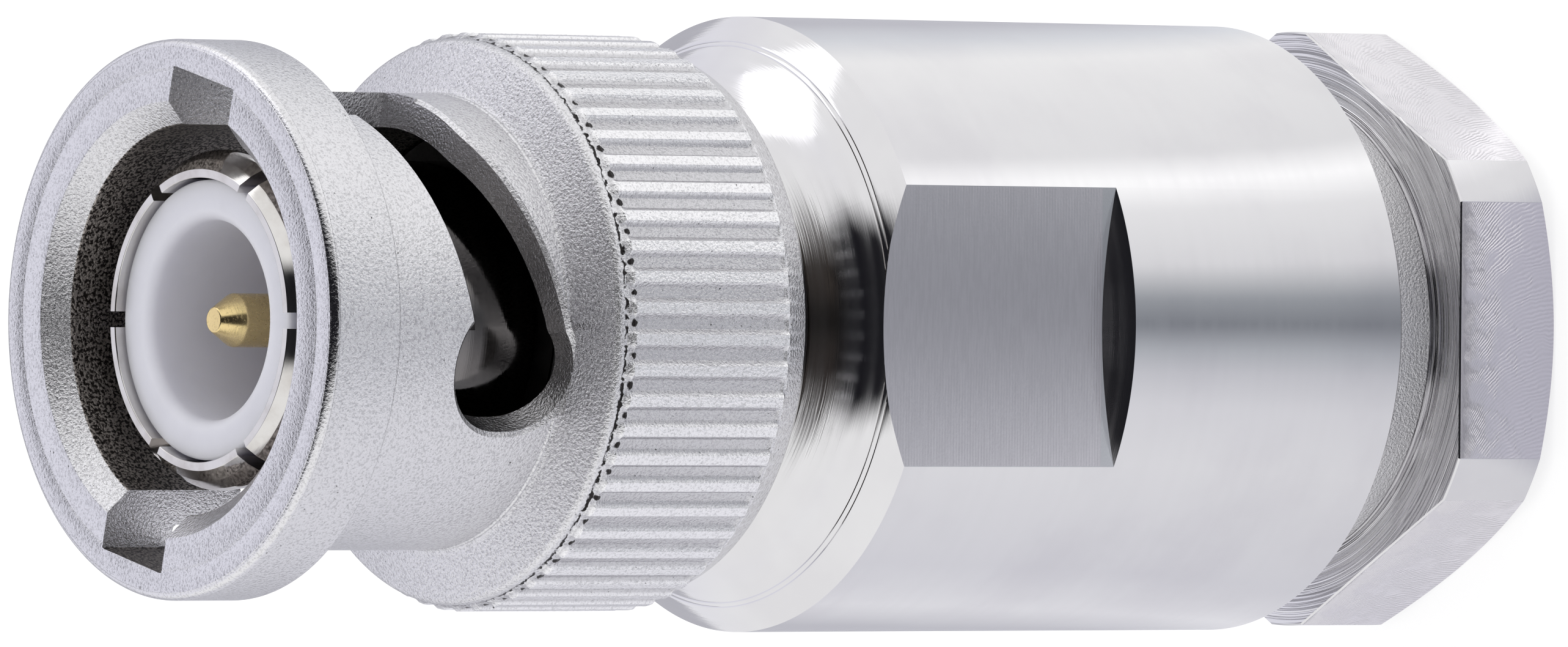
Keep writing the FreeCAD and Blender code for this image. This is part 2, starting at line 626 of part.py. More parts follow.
snap = new_body("retaining_ring")
SNAP_INNER = f"{BARREL} + 2 * snap_play"
revolve(snap, "snap", [
    (SNAP_INNER, "0"), (SNAP_OUTER, "0"), (SNAP_OUTER, "snap_length"), (SNAP_INNER, "snap_length"),
])
cut_pattern(snap, "snap_split", [
    ("-snap_gap / 2", "-snap_length"), ("snap_gap / 2", "-snap_length"),
    ("snap_gap / 2", "2 * snap_length"), ("-snap_gap / 2", "2 * snap_length"),
], "XZ_Plane", SNAP_OUTER, True, "1")
place(snap, THRUST_FOOT + " - snap_length")

# Cable clamp: slip washer on the nut, gasket sleeve, braid clamp

CLAMP_FIT = f"({CAVITY} - 2 * clamp_play)"
SLIP_BORE = f"{CABLE_BORE} + 2 * slip_fit"
turned_piece("slip_washer", [
    (SLIP_BORE, "0"), (CLAMP_FIT, "0"),
    (CLAMP_FIT, "slip_washer_length"), (SLIP_BORE, "slip_washer_length"),
], WASHER_FOOT)

SLEEVE_OUTER = f"({CAVITY} - 2 * slip_fit)"
BITE = f"((cable_diameter + {SLEEVE_OUTER}) / 2)"
turned_piece("v_gasket", [
    ("cable_diameter", "0"),
    (SLEEVE_OUTER, "0"),
    (SLEEVE_OUTER, "gasket_sleeve"),
    (BITE + " + bite_width", "gasket_sleeve"),
    (BITE, "gasket_sleeve - bite_height"),
    (BITE + " - bite_width", "gasket_sleeve"),
    ("cable_diameter", "gasket_sleeve"),
], SLEEVE_FOOT)

CLAMP_BORE = "(cable_diameter - 2 * jacket_wall)"
FLANGE_TOP = "bite_height + clamp_flange_length"
turned_piece("braid_clamp", [
    (BITE, "0"),
    (BITE + " + bite_width", "bite_height"),
    (CLAMP_FIT, "bite_height"),
    (CLAMP_FIT, FLANGE_TOP),
    (CLAMP_FIT + " - 2 * clamp_step", FLANGE_TOP),
    (CLAMP_BORE + " + 2 * clamp_nose_wall", FLANGE_TOP + " + clamp_nose_length"),
    (CLAMP_BORE, FLANGE_TOP + " + clamp_nose_length"),
    (CLAMP_BORE, "bite_height"),
    (BITE + " - bite_width", "bite_height"),
], CLAMP_FOOT)

doc.recompute()

NODES = ["coupling_ring", "outer_contact", "front_insulator", "rear_insulator", "center_pin",
         "face_gasket", "wave_washer_front", "wave_washer_rear", "thrust_washer", "retaining_ring",
         "plug_body", "braid_clamp", "v_gasket", "slip_washer", "clamp_nut"]

for item in doc.Objects:
    if "Invalid" in item.State or "Error" in item.State:
        raise RuntimeError(f"{item.Name} did not compute: {item.State}")
pieces = [doc.getObject(name) for name in NODES]
for piece in pieces:
    if piece.Shape.isNull() or not piece.Shape.isValid():
        raise RuntimeError(f"{piece.Label} has no valid shape")

os.makedirs("parts", exist_ok=True)
for piece in pieces:
    piece.Shape.exportStep(f"parts/{piece.Label}.step")
    box = piece.Shape.BoundBox
    print(f"{piece.Label:18s} {piece.Shape.Volume:9.2f} mm3   z {box.ZMin:6.2f} to {box.ZMax:6.2f}")
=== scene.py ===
import bpy
import bmesh
import math
from mathutils import Matrix, Vector


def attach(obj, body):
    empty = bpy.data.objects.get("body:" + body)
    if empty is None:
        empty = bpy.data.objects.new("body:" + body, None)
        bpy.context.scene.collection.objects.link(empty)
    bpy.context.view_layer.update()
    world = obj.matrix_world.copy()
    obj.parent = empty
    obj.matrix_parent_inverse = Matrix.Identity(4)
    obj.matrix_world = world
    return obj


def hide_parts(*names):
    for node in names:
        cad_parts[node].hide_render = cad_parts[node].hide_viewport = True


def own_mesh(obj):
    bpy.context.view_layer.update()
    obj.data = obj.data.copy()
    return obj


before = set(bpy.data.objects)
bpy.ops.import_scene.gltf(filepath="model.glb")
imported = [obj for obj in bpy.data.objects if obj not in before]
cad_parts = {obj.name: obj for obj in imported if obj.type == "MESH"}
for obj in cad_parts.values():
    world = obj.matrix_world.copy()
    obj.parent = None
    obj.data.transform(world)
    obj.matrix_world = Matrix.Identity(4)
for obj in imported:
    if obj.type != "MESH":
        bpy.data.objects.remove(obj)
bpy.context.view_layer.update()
mm = 0.001
print("frame loaded:", len(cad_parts), "CAD nodes")


# Small helpers for meshes. Outlines are in mm: (radius, height) or (radius, height, rounding)

def roundCorners(outline, steps=6):
    points = []
    for i, corner in enumerate(outline):
        here = Vector(corner[:2])
        if len(corner) < 3:
            points.append(here)
            continue
        before = (Vector(outline[i - 1][:2]) - here).normalized()
        after = (Vector(outline[(i + 1) % len(outline)][:2]) - here).normalized()
        half, rounding = before.angle(after) / 2, corner[2]
        middle = here + (before + after).normalized() * rounding / math.sin(half)
        start = (here + before * rounding / math.tan(half) - middle).normalized()
        end = (here + after * rounding / math.tan(half) - middle).normalized()
        points += [middle + start.slerp(end, step / steps) * rounding for step in range(steps + 1)]
    return points


def ringAngles(count, extra=()):
    angles = {round(360 * i / count, 6) for i in range(count)}
    angles |= {round(angle % 360, 6) for angle in extra}
    return sorted(angles)


def revolve(name, columnAt, angles):
    mesh = bmesh.new()
    columns = []
    for angle in angles:
        turn = math.radians(angle - 90)
        cosine, sine = math.cos(turn), math.sin(turn)
        columns.append([mesh.verts.new((radius * cosine * mm, radius * sine * mm, height * mm))
                        for radius, height in columnAt(angle)])
    for i, column in enumerate(columns):
        other = columns[(i + 1) % len(columns)]
        for j in range(len(column)):
            k = (j + 1) % len(column)
            mesh.faces.new((column[j], other[j], other[k], column[k]))
    bmesh.ops.remove_doubles(mesh, verts=mesh.verts, dist=1e-7)
    bmesh.ops.recalc_face_normals(mesh, faces=mesh.faces)
    return meshObject(name, mesh)


def closedSolid(name, loops):
    mesh = bmesh.new()
    rows = [[mesh.verts.new(point) for point in loop] for loop in loops]
    for one, two in zip(rows, rows[1:]):
        for k in range(len(one)):
            n = (k + 1) % len(one)
            mesh.faces.new((one[k], one[n], two[n], two[k]))
    mesh.faces.new(list(reversed(rows[0])))
    mesh.faces.new(rows[-1])
    bmesh.ops.recalc_face_normals(mesh, faces=mesh.faces)
    return meshObject(name, mesh)


def meshObject(name, mesh):
    data = bpy.data.meshes.new(name)
    mesh.to_mesh(data)
    mesh.free()
    piece = bpy.data.objects.new(name, data)
    bpy.context.scene.collection.objects.link(piece)
    return piece


def combine(piece, others, operation="DIFFERENCE"):
    for other in others:
        join = piece.modifiers.new("combine", "BOOLEAN")
        join.operation = operation
        join.object = other
        join.solver = "EXACT"
    applyModifiers(piece)
    for other in others:
        bpy.data.objects.remove(other)


def applyModifiers(piece):
    graph = bpy.context.evaluated_depsgraph_get()
    data = bpy.data.meshes.new_from_object(piece.evaluated_get(graph))
    piece.modifiers.clear()
    piece.data = data


def smooth(piece, sharpAngle):
    piece.data.shade_smooth()
    piece.data.set_sharp_from_angle(angle=math.radians(sharpAngle))
    weighted = piece.modifiers.new("weighted normals", "WEIGHTED_NORMAL")
    weighted.keep_sharp = True
    weighted.weight = 100      # large faces stay flat beside small rounds
    applyModifiers(piece)


def finishPiece(piece, material, body, node, sharpAngle=25):
    smooth(piece, sharpAngle)
    piece.data.materials.clear()
    piece.data.materials.append(material)
    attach(piece, body)
    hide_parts(node)
    print("piece:", piece.name, len(piece.data.polygons), "faces")


# Small helpers for node trees

def addNode(tree, kind, settings=None, **inputs):
    new = tree.nodes.new(kind)
    for key, value in (settings or {}).items():
        setattr(new, key, value)
    for key, value in inputs.items():
        # i0, i1 and so on are the socket's number, anything else is its name
        byNumber = key[0] == "i" and key[1:].isdigit()
        socket = new.inputs[int(key[1:]) if byNumber else key.replace("_", " ")]
        if isinstance(value, bpy.types.NodeSocket):
            tree.links.new(value, socket)
        else:
            socket.default_value = value
    return new


def maths(tree, operation, a, b=0.0):
    return addNode(tree, "ShaderNodeMath", {"operation": operation}, i0=a, i1=b).outputs[0]


def times(tree, a, b):
    return maths(tree, "MULTIPLY", a, b)


def mapRange(tree, value, low, high, newLow=0.0, newHigh=1.0, curve="SMOOTHSTEP"):
    return addNode(tree, "ShaderNodeMapRange", {"interpolation_type": curve}, Value=value, From_Min=low,
                   From_Max=high, To_Min=newLow, To_Max=newHigh).outputs[0]


def mixColour(tree, factor, a, b, blend="MIX"):
    new = addNode(tree, "ShaderNodeMix", {"data_type": "RGBA", "blend_type": blend}, i0=factor)
    for socket, value in ((new.inputs[6], a), (new.inputs[7], b)):
        if isinstance(value, bpy.types.NodeSocket):
            tree.links.new(value, socket)
        else:
            socket.default_value = (*value, 1)
    return new.outputs[2]


def newGroup(name, inputs, outputs):
    group = bpy.data.node_groups.new(name, "ShaderNodeTree")
    for label, value in inputs.items():
        socket = group.interface.new_socket(label, in_out="INPUT", socket_type="NodeSocketFloat")
        socket.default_value = value
    for label in outputs:
        group.interface.new_socket(label, in_out="OUTPUT", socket_type="NodeSocketFloat")
    return group, group.nodes.new("NodeGroupInput"), group.nodes.new("NodeGroupOutput")


def placeGroup(tree, group, **inputs):
    new = tree.nodes.new("ShaderNodeGroup")
    new.node_tree = group
    for key, value in inputs.items():
        new.inputs[key].default_value = value
    return new.outputs


def newMaterial(name, **shaderInputs):
    material = bpy.data.materials.new(name)
    material.use_nodes = True
    tree = material.node_tree
    shader = tree.nodes["Principled BSDF"]
    for key, value in shaderInputs.items():
        socket = shader.inputs[key.replace("_", " ")]
        socket.default_value = (*value, 1) if socket.type == "RGBA" else value
    return material, tree, shader


def bump(tree, height, distance, strength=1.0, after=None):
    new = addNode(tree, "ShaderNodeBump", Height=height, Distance=distance * mm, Strength=strength)
    if after is not None:
        tree.links.new(after, new.inputs["Normal"])
    return new.outputs[0]


def wire(tree, shader, colour, roughness, normal):
    for name, value in (("Base Color", colour), ("Roughness", roughness), ("Normal", normal)):
        tree.links.new(value, shader.inputs[name])


# Shared effects. Every group works in mm of the object's own space

def objectMm(tree):
    place = addNode(tree, "ShaderNodeTexCoord").outputs["Object"]
    return addNode(tree, "ShaderNodeVectorMath", {"operation": "SCALE"}, i0=place, Scale=1 / mm).outputs[0]


def lengthOf(tree, across, along):
    flat = addNode(tree, "ShaderNodeCombineXYZ", i0=across, i1=along).outputs[0]
    return addNode(tree, "ShaderNodeVectorMath", {"operation": "LENGTH"}, i0=flat).outputs["Value"]


def radiusOf(tree, place):
    parts = addNode(tree, "ShaderNodeSeparateXYZ", i0=place).outputs
    return lengthOf(tree, parts[0], parts[1]), parts


def angleOf(tree, parts):
    # radians round the plug, 0 on the camera's side
    return maths(tree, "ARCTAN2", parts[0], times(tree, parts[1], -1.0))


def facingUp(tree):
    # 1 on faces that look to the mating end, 0 on walls, -1 on faces that look to the cable
    normal = addNode(tree, "ShaderNodeTexCoord").outputs["Normal"]
    return addNode(tree, "ShaderNodeSeparateXYZ", i0=normal).outputs[2]


def facingIn(tree, parts):
    # 1 on walls that look towards the plug's axis, as in a bore
    outward = addNode(tree, "ShaderNodeCombineXYZ", i0=parts[0], i1=parts[1]).outputs[0]
    outward = addNode(tree, "ShaderNodeVectorMath", {"operation": "NORMALIZE"}, i0=outward).outputs[0]
    faces = addNode(tree, "ShaderNodeTexCoord").outputs["Normal"]
    against = addNode(tree, "ShaderNodeVectorMath", {"operation": "DOT_PRODUCT"}, i0=faces, i1=outward)
    return mapRange(tree, against.outputs["Value"], -0.74, -0.86)


def between(tree, value, low, high, soft=0.03):
    return times(tree, mapRange(tree, value, low - soft, low + soft),
                 mapRange(tree, value, high + soft, high - soft))


def makeTurningLines():
    # rings left by a lathe tool: the same all round, along both the length and the radius
    group, given, out = newGroup("turningLines", {"Spacing": 0.1, "Wander": 0.15}, ["Height", "Bands"])
    place = objectMm(group)
    radius, parts = radiusOf(group, place)
    drift = addNode(group, "ShaderNodeTexNoise", Vector=place, Scale=0.35, Detail=1.0).outputs[0]
    drift = times(group, drift, given.outputs["Wander"])
    along = addNode(group, "ShaderNodeCombineXYZ", i0=radius, i1=drift, i2=parts[2]).outputs[0]
    frequency = maths(group, "DIVIDE", 1.0, given.outputs["Spacing"])
    lines = addNode(group, "ShaderNodeTexNoise", Vector=along, Scale=frequency, Detail=2.0, Roughness=0.6)
    bands = addNode(group, "ShaderNodeTexNoise", Vector=along, Detail=1.0,
                    Scale=times(group, frequency, 0.12))
    group.links.new(lines.outputs[0], out.inputs["Height"])
    group.links.new(bands.outputs[0], out.inputs["Bands"])
    return group


def makeCastGrain():
    # the pebbled skin of a plated casting, with a few open pits
    group, given, out = newGroup("castGrain", {"Size": 0.12, "Pits": 0.3}, ["Height", "Pit mask"])
    place = objectMm(group)
    frequency = maths(group, "DIVIDE", 1.0, given.outputs["Size"])
    pebble = addNode(group, "ShaderNodeTexNoise", Vector=place, Scale=frequency, Detail=3.0, Roughness=0.62)
    pit = addNode(group, "ShaderNodeTexNoise", Vector=place, Scale=times(group, frequency, 0.8),
                  Detail=2.0)
    rare = addNode(group, "ShaderNodeTexNoise", Vector=place, Scale=0.5, Detail=2.0)
    edge = maths(group, "SUBTRACT", 0.78, times(group, given.outputs["Pits"], 0.2))
    pits = mapRange(group, pit.outputs[0], edge, maths(group, "ADD", edge, 0.06))
    pits = times(group, pits, mapRange(group, rare.outputs[0], 0.42, 0.6))
    height = maths(group, "SUBTRACT", pebble.outputs[0], times(group, pits, 0.8))
    group.links.new(height, out.inputs["Height"])
    group.links.new(pits, out.inputs["Pit mask"])
    return group


def makeHandling():
    # thin films and rubbed places that change how sharp the metal looks
    group, given, out = newGroup("handling", {"Size": 3.0, "Amount": 0.5}, ["Film", "Speckle"])
    place = objectMm(group)
    film = addNode(group, "ShaderNodeTexNoise", Vector=place, Detail=4.0, Roughness=0.55,
                   Scale=maths(group, "DIVIDE", 1.0, given.outputs["Size"]))
    speckle = addNode(group, "ShaderNodeTexNoise", Vector=place, Scale=14.0, Detail=1.0)
    film = mapRange(group, film.outputs[0], 0.4, 0.7, 0.0, given.outputs["Amount"])
    group.links.new(film, out.inputs["Film"])
    speckle = mapRange(group, speckle.outputs[0], 0.45, 0.75)
    group.links.new(speckle, out.inputs["Speckle"])
    return group


def placeFilm(tree, look):
    return placeGroup(tree, handling, Size=look["filmSize"], Amount=look["filmAmount"])


turningLines = makeTurningLines()
castGrain = makeCastGrain()
handling = makeHandling()
print("shader groups ready")


# Materials

# several of these colours are painted shade: the knurl's grooves, the grain's hollows, the turned rear face,
# the bore walls and the pits
castNickel = {
    "colour": (0.74, 0.735, 0.755), "hollowShadeColour": (0.40, 0.395, 0.41), "ridge": (0.88, 0.875, 0.89),
    "groove": (0.64, 0.635, 0.655), "rearGapShade": (0.045, 0.038, 0.033), "pitShadeColour": (0.03, 0.027, 0.027),
    "boreShadeGrain": (0.52, 0.48, 0.45), "boreShadeDark": (0.035, 0.03, 0.028), "insideLevels": (0.44, 0.56),
    "roughness": (0.11, 0.19), "insideRoughness": 0.3, "grooveRoughness": 0.24, "turnedRoughness": 0.05,
    "grainSize": 0.075, "grainDepth": 0.036, "pits": 0.3, "filmSize": 2.5, "filmAmount": 0.6,
    "hollowLevels": (0.52, 0.36), "hollowShades": (0.5, 0.35), "turnedTilt": (-0.5, -0.2), "turnedTop": 24.6,
}
# pits where the knurl's grooves end, and a ragged line along its rim: cut in by a bump, and painted near-black
# as the shade inside them
knurlMarks = {
    "knurlHeights": (25.35, 30.38), "ridgeRadius": 7.27, "grooveRadius": 7.19, "grooveCount": 58,
    "grooveEnd": 30.24, "holeRadius": 0.085, "holeEdge": 0.015, "holeWander": 0.2, "holeFoot": (6.95, 7.05),
    "lineHeight": 30.47, "lineHalfWidth": (0.045, 0.02), "lineWander": 0.3, "lineFoot": (6.9, 7.0),
    "lineGaps": (0.42, 0.5), "depth": 1.5,
}
# the flange's front edge is rubbed smoother, so it mirrors the dark gap, and the front face a little
rubbedFront = {
    "edgeTilt": (0.2, 0.97), "edgeRadii": (6.5, 6.6), "edgeHeights": (39.05, 39.1), "edgeGrain": 0.4,
    "edgeRoughness": 0.07, "faceTilt": (0.97, 0.99), "faceHeights": (39.0, 39.1), "faceGrain": 0.6,
}


def makeCastNickel():
    look, knurlLook, front = castNickel, knurlMarks, rubbedFront
    material, tree, shader = newMaterial("castNickel", Metallic=1.0)
    place = objectMm(tree)
    radius, parts = radiusOf(tree, place)
    grain = placeGroup(tree, castGrain, Size=look["grainSize"], Pits=look["pits"])
    hands = placeFilm(tree, look)
    inside = facingIn(tree, parts)
    up = facingUp(tree)
    # the rear end is turned smooth, and below its colour is painted near-black as the shade in the gap before
    # the plug body
    cast = maths(tree, "MAXIMUM", mapRange(tree, up, *look["turnedTilt"]),
                 mapRange(tree, parts[2], look["turnedTop"], look["turnedTop"] + 0.03))
    knurl = between(tree, parts[2], *knurlLook["knurlHeights"])
    groove = times(tree, knurl, mapRange(tree, radius, knurlLook["ridgeRadius"], knurlLook["grooveRadius"]))

    turn = times(tree, angleOf(tree, parts), knurlLook["grooveCount"] / (2 * math.pi))
    across = maths(tree, "SUBTRACT", turn, maths(tree, "ROUND", turn))
    across = times(tree, across, 2 * math.pi * knurlLook["grooveRadius"] / knurlLook["grooveCount"])
    away = lengthOf(tree, across, maths(tree, "SUBTRACT", parts[2], knurlLook["grooveEnd"]))
    ragged = addNode(tree, "ShaderNodeTexNoise", Vector=place, Scale=5.0, Detail=3.0).outputs[0]
    wander = maths(tree, "SUBTRACT", ragged, 0.5)
    away = maths(tree, "SUBTRACT", away, times(tree, wander, knurlLook["holeWander"]))
    hole, edge = knurlLook["holeRadius"], knurlLook["holeEdge"]
    holes = mapRange(tree, away, hole + edge, hole - edge)
    holes = times(tree, holes, mapRange(tree, radius, *knurlLook["holeFoot"]))
    line = maths(tree, "ADD", parts[2], times(tree, wander, knurlLook["lineWander"]))
    line = maths(tree, "ABSOLUTE", maths(tree, "SUBTRACT", line, knurlLook["lineHeight"]))
    line = times(tree, mapRange(tree, line, *knurlLook["lineHalfWidth"]), mapRange(tree, radius, *knurlLook["lineFoot"]))
    line = times(tree, line, mapRange(tree, ragged, *knurlLook["lineGaps"]))
    marks = maths(tree, "MAXIMUM", holes, line)

    skin = mixColour(tree, knurl, look["colour"], look["ridge"])
    # painted shade: the knurl's grooves are darker than its ridges, as the shade in them, along with duller
    # plating there
    skin = mixColour(tree, groove, skin, look["groove"])
    # painted shade: the grain's hollows are darkened, less on the knurl
    hollows = times(tree, mapRange(tree, grain["Height"], *look["hollowLevels"]), cast)
    shaded = mapRange(tree, knurl, 0.0, 1.0, *look["hollowShades"], "LINEAR")
    skin = mixColour(tree, times(tree, hollows, shaded), skin, look["hollowShadeColour"])
    # painted shade: the turned rear face is near-black, as the shade in the gap before the plug body
    skin = mixColour(tree, cast, look["rearGapShade"], skin)
    # painted shade: walls that face the axis, as in the bore, are darkened, with lighter brownish grains
    walls = mapRange(tree, grain["Height"], *look["insideLevels"])
    walls = mixColour(tree, walls, look["boreShadeDark"], look["boreShadeGrain"])
    colour = mixColour(tree, inside, skin, walls)
    # painted shade: the grain's pits and the marks at the knurl's end are near-black
    dark = maths(tree, "MAXIMUM", marks, grain["Pit mask"])
    colour = mixColour(tree, dark, colour, look["pitShadeColour"])

    roughness = mapRange(tree, hands["Film"], 0.0, 0.6, *look["roughness"])
    roughness = maths(tree, "MAXIMUM", roughness, times(tree, inside, look["insideRoughness"]))
    roughness = maths(tree, "MAXIMUM", roughness, times(tree, groove, look["grooveRoughness"]))
    height = times(tree, maths(tree, "SUBTRACT", grain["Height"], times(tree, marks, knurlLook["depth"])), cast)

    rubbed = times(tree, between(tree, up, *front["edgeTilt"], soft=0.02),
                   mapRange(tree, radius, *front["edgeRadii"]))
    rubbed = times(tree, rubbed, mapRange(tree, parts[2], *front["edgeHeights"]))
    face = times(tree, mapRange(tree, up, *front["faceTilt"]), mapRange(tree, parts[2], *front["faceHeights"]))
    height = times(tree, height, mapRange(tree, rubbed, 0.0, 1.0, 1.0, front["edgeGrain"]))
    height = times(tree, height, mapRange(tree, face, 0.0, 1.0, 1.0, front["faceGrain"]))
    roughness = mapRange(tree, rubbed, 0.0, 1.0, roughness, front["edgeRoughness"], "LINEAR")
    roughness = mapRange(tree, cast, 0.0, 1.0, look["turnedRoughness"], roughness, "LINEAR")
    wire(tree, shader, colour, roughness, bump(tree, height, look["grainDepth"]))
    return material


turnedNickel = {
    "colour": (0.73, 0.725, 0.735), "filmColour": (0.67, 0.66, 0.68), "roughness": (0.06, 0.15),
    "lineSpacing": 0.035, "lineDepth": 0.0012, "filmSize": 4.0, "filmAmount": 0.7, "flatTilt": 0.08,
}
# flats are milled after the turning, so they are duller: brushed on the body, and on the nut
# with the arcs of the cutter's passes side by side
bodyFlats = {
    "radii": (6.9, 7.84), "heights": (15.14, 22.25), "colour": (0.80, 0.765, 0.785), "roughness": 0.17,
    "wobble": 0.02, "spacing": 0.09, "depth": 0.002, "strokeSpan": 0.1, "strokeShade": 0.95,
}
nutFlats = {
    "radii": (6.9, 7.742), "heights": (0.02, 3.23), "colour": (0.85, 0.83, 0.86), "roughness": 0.32,
    "wobble": 0.35, "spacing": 0.11, "depth": 0.016, "strokeSpan": 1.0, "strokeShade": 0.88,
    "cutterRadius": 3.2,
}
nutThread = {
    "heights": (3.5, 8.0), "grainSize": 0.07, "pits": 0.1, "roughness": 0.3, "depth": 0.05,
    "endTilt": 0.9, "endDepth": 0.045,
}


def cutterArcs(tree, radius, parts):
    side = math.pi / 3
    turn = angleOf(tree, parts)
    nearest = maths(tree, "ROUND", maths(tree, "DIVIDE", turn, side))
    turn = maths(tree, "SUBTRACT", turn, times(tree, nearest, side))
    arc = maths(tree, "SUBTRACT", nutFlats["cutterRadius"] ** 2, maths(tree, "POWER", parts[2], 2.0))
    arc = maths(tree, "SQRT", maths(tree, "MAXIMUM", arc, 0.0))
    return maths(tree, "SUBTRACT", times(tree, radius, maths(tree, "SINE", turn)), arc)


def brushStrokes(tree, parts):
    stretched = addNode(tree, "ShaderNodeCombineXYZ", i0=times(tree, parts[0], 0.12), i2=parts[2]).outputs[0]
    noise = addNode(tree, "ShaderNodeTexNoise", Vector=stretched, Scale=9.0, Detail=4.0, Roughness=0.7)
    return maths(tree, "SUBTRACT", noise.outputs[0], 0.5)


def makeTurnedNickel(name, flats=None, thread=None, lineSpacing=None, lineDepth=None):
    look = turnedNickel
    material, tree, shader = newMaterial(name, Metallic=1.0)
    place = objectMm(tree)
    radius, parts = radiusOf(tree, place)
    lines = placeGroup(tree, turningLines, Spacing=lineSpacing or look["lineSpacing"], Wander=0.1)
    hands = placeFilm(tree, look)
    colour = mixColour(tree, hands["Film"], look["colour"], look["filmColour"])
    roughness = mapRange(tree, lines["Bands"], 0.3, 0.7, *look["roughness"])
    normal = bump(tree, lines["Height"], lineDepth or look["lineDepth"])
    if flats:
        inner, outer = flats["radii"]
        level = maths(tree, "LESS_THAN", maths(tree, "ABSOLUTE", facingUp(tree)), look["flatTilt"])
        milled = times(tree, between(tree, parts[2], *flats["heights"], soft=0.01), level)
        milled = times(tree, milled, maths(tree, "LESS_THAN", radius, outer))
        milled = times(tree, milled, maths(tree, "GREATER_THAN", radius, inner))
        wobble = addNode(tree, "ShaderNodeTexNoise", Vector=place, Scale=1.6, Detail=3.0).outputs[0]
        arcs = "cutterRadius" in flats
        cutterPass = cutterArcs(tree, radius, parts) if arcs else parts[2]
        cutterPass = maths(tree, "ADD", cutterPass, times(tree, wobble, flats["wobble"]))
        marks = maths(tree, "SINE", times(tree, cutterPass, 2 * math.pi / flats["spacing"]))
        marks = times(tree, marks, mapRange(tree, wobble, 0.35, 0.6, 0.3, 1.0))
        strokes = marks if arcs else brushStrokes(tree, parts)
        brushed = mapRange(tree, strokes, -flats["strokeSpan"], flats["strokeSpan"], flats["strokeShade"], 1.0)
        shades = [times(tree, brushed, part) for part in flats["colour"]]
        flatColour = addNode(tree, "ShaderNodeCombineColor", i0=shades[0], i1=shades[1], i2=shades[2])
        colour = mixColour(tree, milled, colour, flatColour.outputs[0])
        roughness = maths(tree, "MAXIMUM", roughness, times(tree, milled, flats["roughness"]))
        marks = times(tree, times(tree, marks, milled), flats["depth"] / 2)
        normal = bump(tree, marks, 1.0, after=normal)
    if thread:
        ends = maths(tree, "GREATER_THAN", facingUp(tree), thread["endTilt"])
        normal = bump(tree, times(tree, lines["Height"], ends), thread["endDepth"], after=normal)
        worn = between(tree, parts[2], *thread["heights"])
        grain = placeGroup(tree, castGrain, Size=thread["grainSize"], Pits=thread["pits"])
        roughness = maths(tree, "MAXIMUM", roughness, times(tree, worn, thread["roughness"]))
        normal = bump(tree, times(tree, grain["Height"], worn), thread["depth"], after=normal)
    wire(tree, shader, colour, roughness, normal)
    return material


fingerNickel = {
    "colour": (0.70, 0.685, 0.67), "second": (0.36, 0.31, 0.27), "roughness": (0.06, 0.14),
    "lineSpacing": 0.04, "lineWander": 0.05, "lineDepth": 0.0008, "filmSize": 1.2, "filmAmount": 0.4,
    "shankColour": (0.20, 0.19, 0.185), "shankHeights": (29.9, 35.9), "shankEdge": 0.25,
}
springSteel = {
    "colour": (0.50, 0.49, 0.48), "second": (0.60, 0.585, 0.57), "roughness": (0.06, 0.14),
    "lineSpacing": 0.09, "lineWander": 0.5, "lineDepth": 0.002,
}


def makeLinedMetal(name, look):
    material, tree, shader = newMaterial(name, Metallic=1.0)
    lines = placeGroup(tree, turningLines, Spacing=look["lineSpacing"], Wander=look["lineWander"])
    share = placeFilm(tree, look)["Film"] if "filmSize" in look else lines["Bands"]
    colour = mixColour(tree, share, look["colour"], look["second"])
    if "shankHeights" in look:
        # the fingers' sides stay in the ring's shade
        height = radiusOf(tree, objectMm(tree))[1][2]
        shank = between(tree, height, *look["shankHeights"], soft=look["shankEdge"])
        colour = mixColour(tree, shank, colour, look["shankColour"])
    roughness = mapRange(tree, lines["Bands"], 0.3, 0.7, *look["roughness"])
    wire(tree, shader, colour, roughness, bump(tree, lines["Height"], look["lineDepth"]))
    return material


# one colour under a film of another: turned pieces have lines, moulded ones a grain
ptfe = {
    "colour": (0.65, 0.65, 0.715), "film": (0.60, 0.60, 0.66), "roughness": (0.38, 0.55), "depth": 0.0015,
    "lineSpacing": 0.08, "lineWander": 0.3, "filmSize": 1.5, "filmAmount": 0.5,
}
goldPlate = {
    "colour": (0.86, 0.68, 0.33), "film": (0.74, 0.58, 0.30), "roughness": (0.2, 0.34), "depth": 0.0015,
    "lineSpacing": 0.05, "lineWander": 0.2, "filmSize": 0.8, "filmAmount": 0.6,
}
silicone = {
    "colour": (0.02, 0.02, 0.021), "film": (0.05, 0.05, 0.052), "roughness": (0.42, 0.58), "depth": 0.004,
    "grainSize": 0.1, "pits": 0.1, "filmSize": 1.0, "filmAmount": 0.6,
}
gasketRubber = {**silicone, "colour": (0.035, 0.035, 0.036), "film": (0.09, 0.09, 0.09),
                "roughness": (0.47, 0.63)}


def makePlainFinish(name, look, **shaderInputs):
    material, tree, shader = newMaterial(name, **shaderInputs)
    if "lineSpacing" in look:
        skin = placeGroup(tree, turningLines, Spacing=look["lineSpacing"], Wander=look["lineWander"])
    else:
        skin = placeGroup(tree, castGrain, Size=look["grainSize"], Pits=look["pits"])
    hands = placeFilm(tree, look)
    colour = mixColour(tree, hands["Film"], look["colour"], look["film"])
    roughness = mapRange(tree, hands["Speckle"], 0.0, 1.0, *look["roughness"])
    wire(tree, shader, colour, roughness, bump(tree, skin["Height"], look["depth"]))
    return material


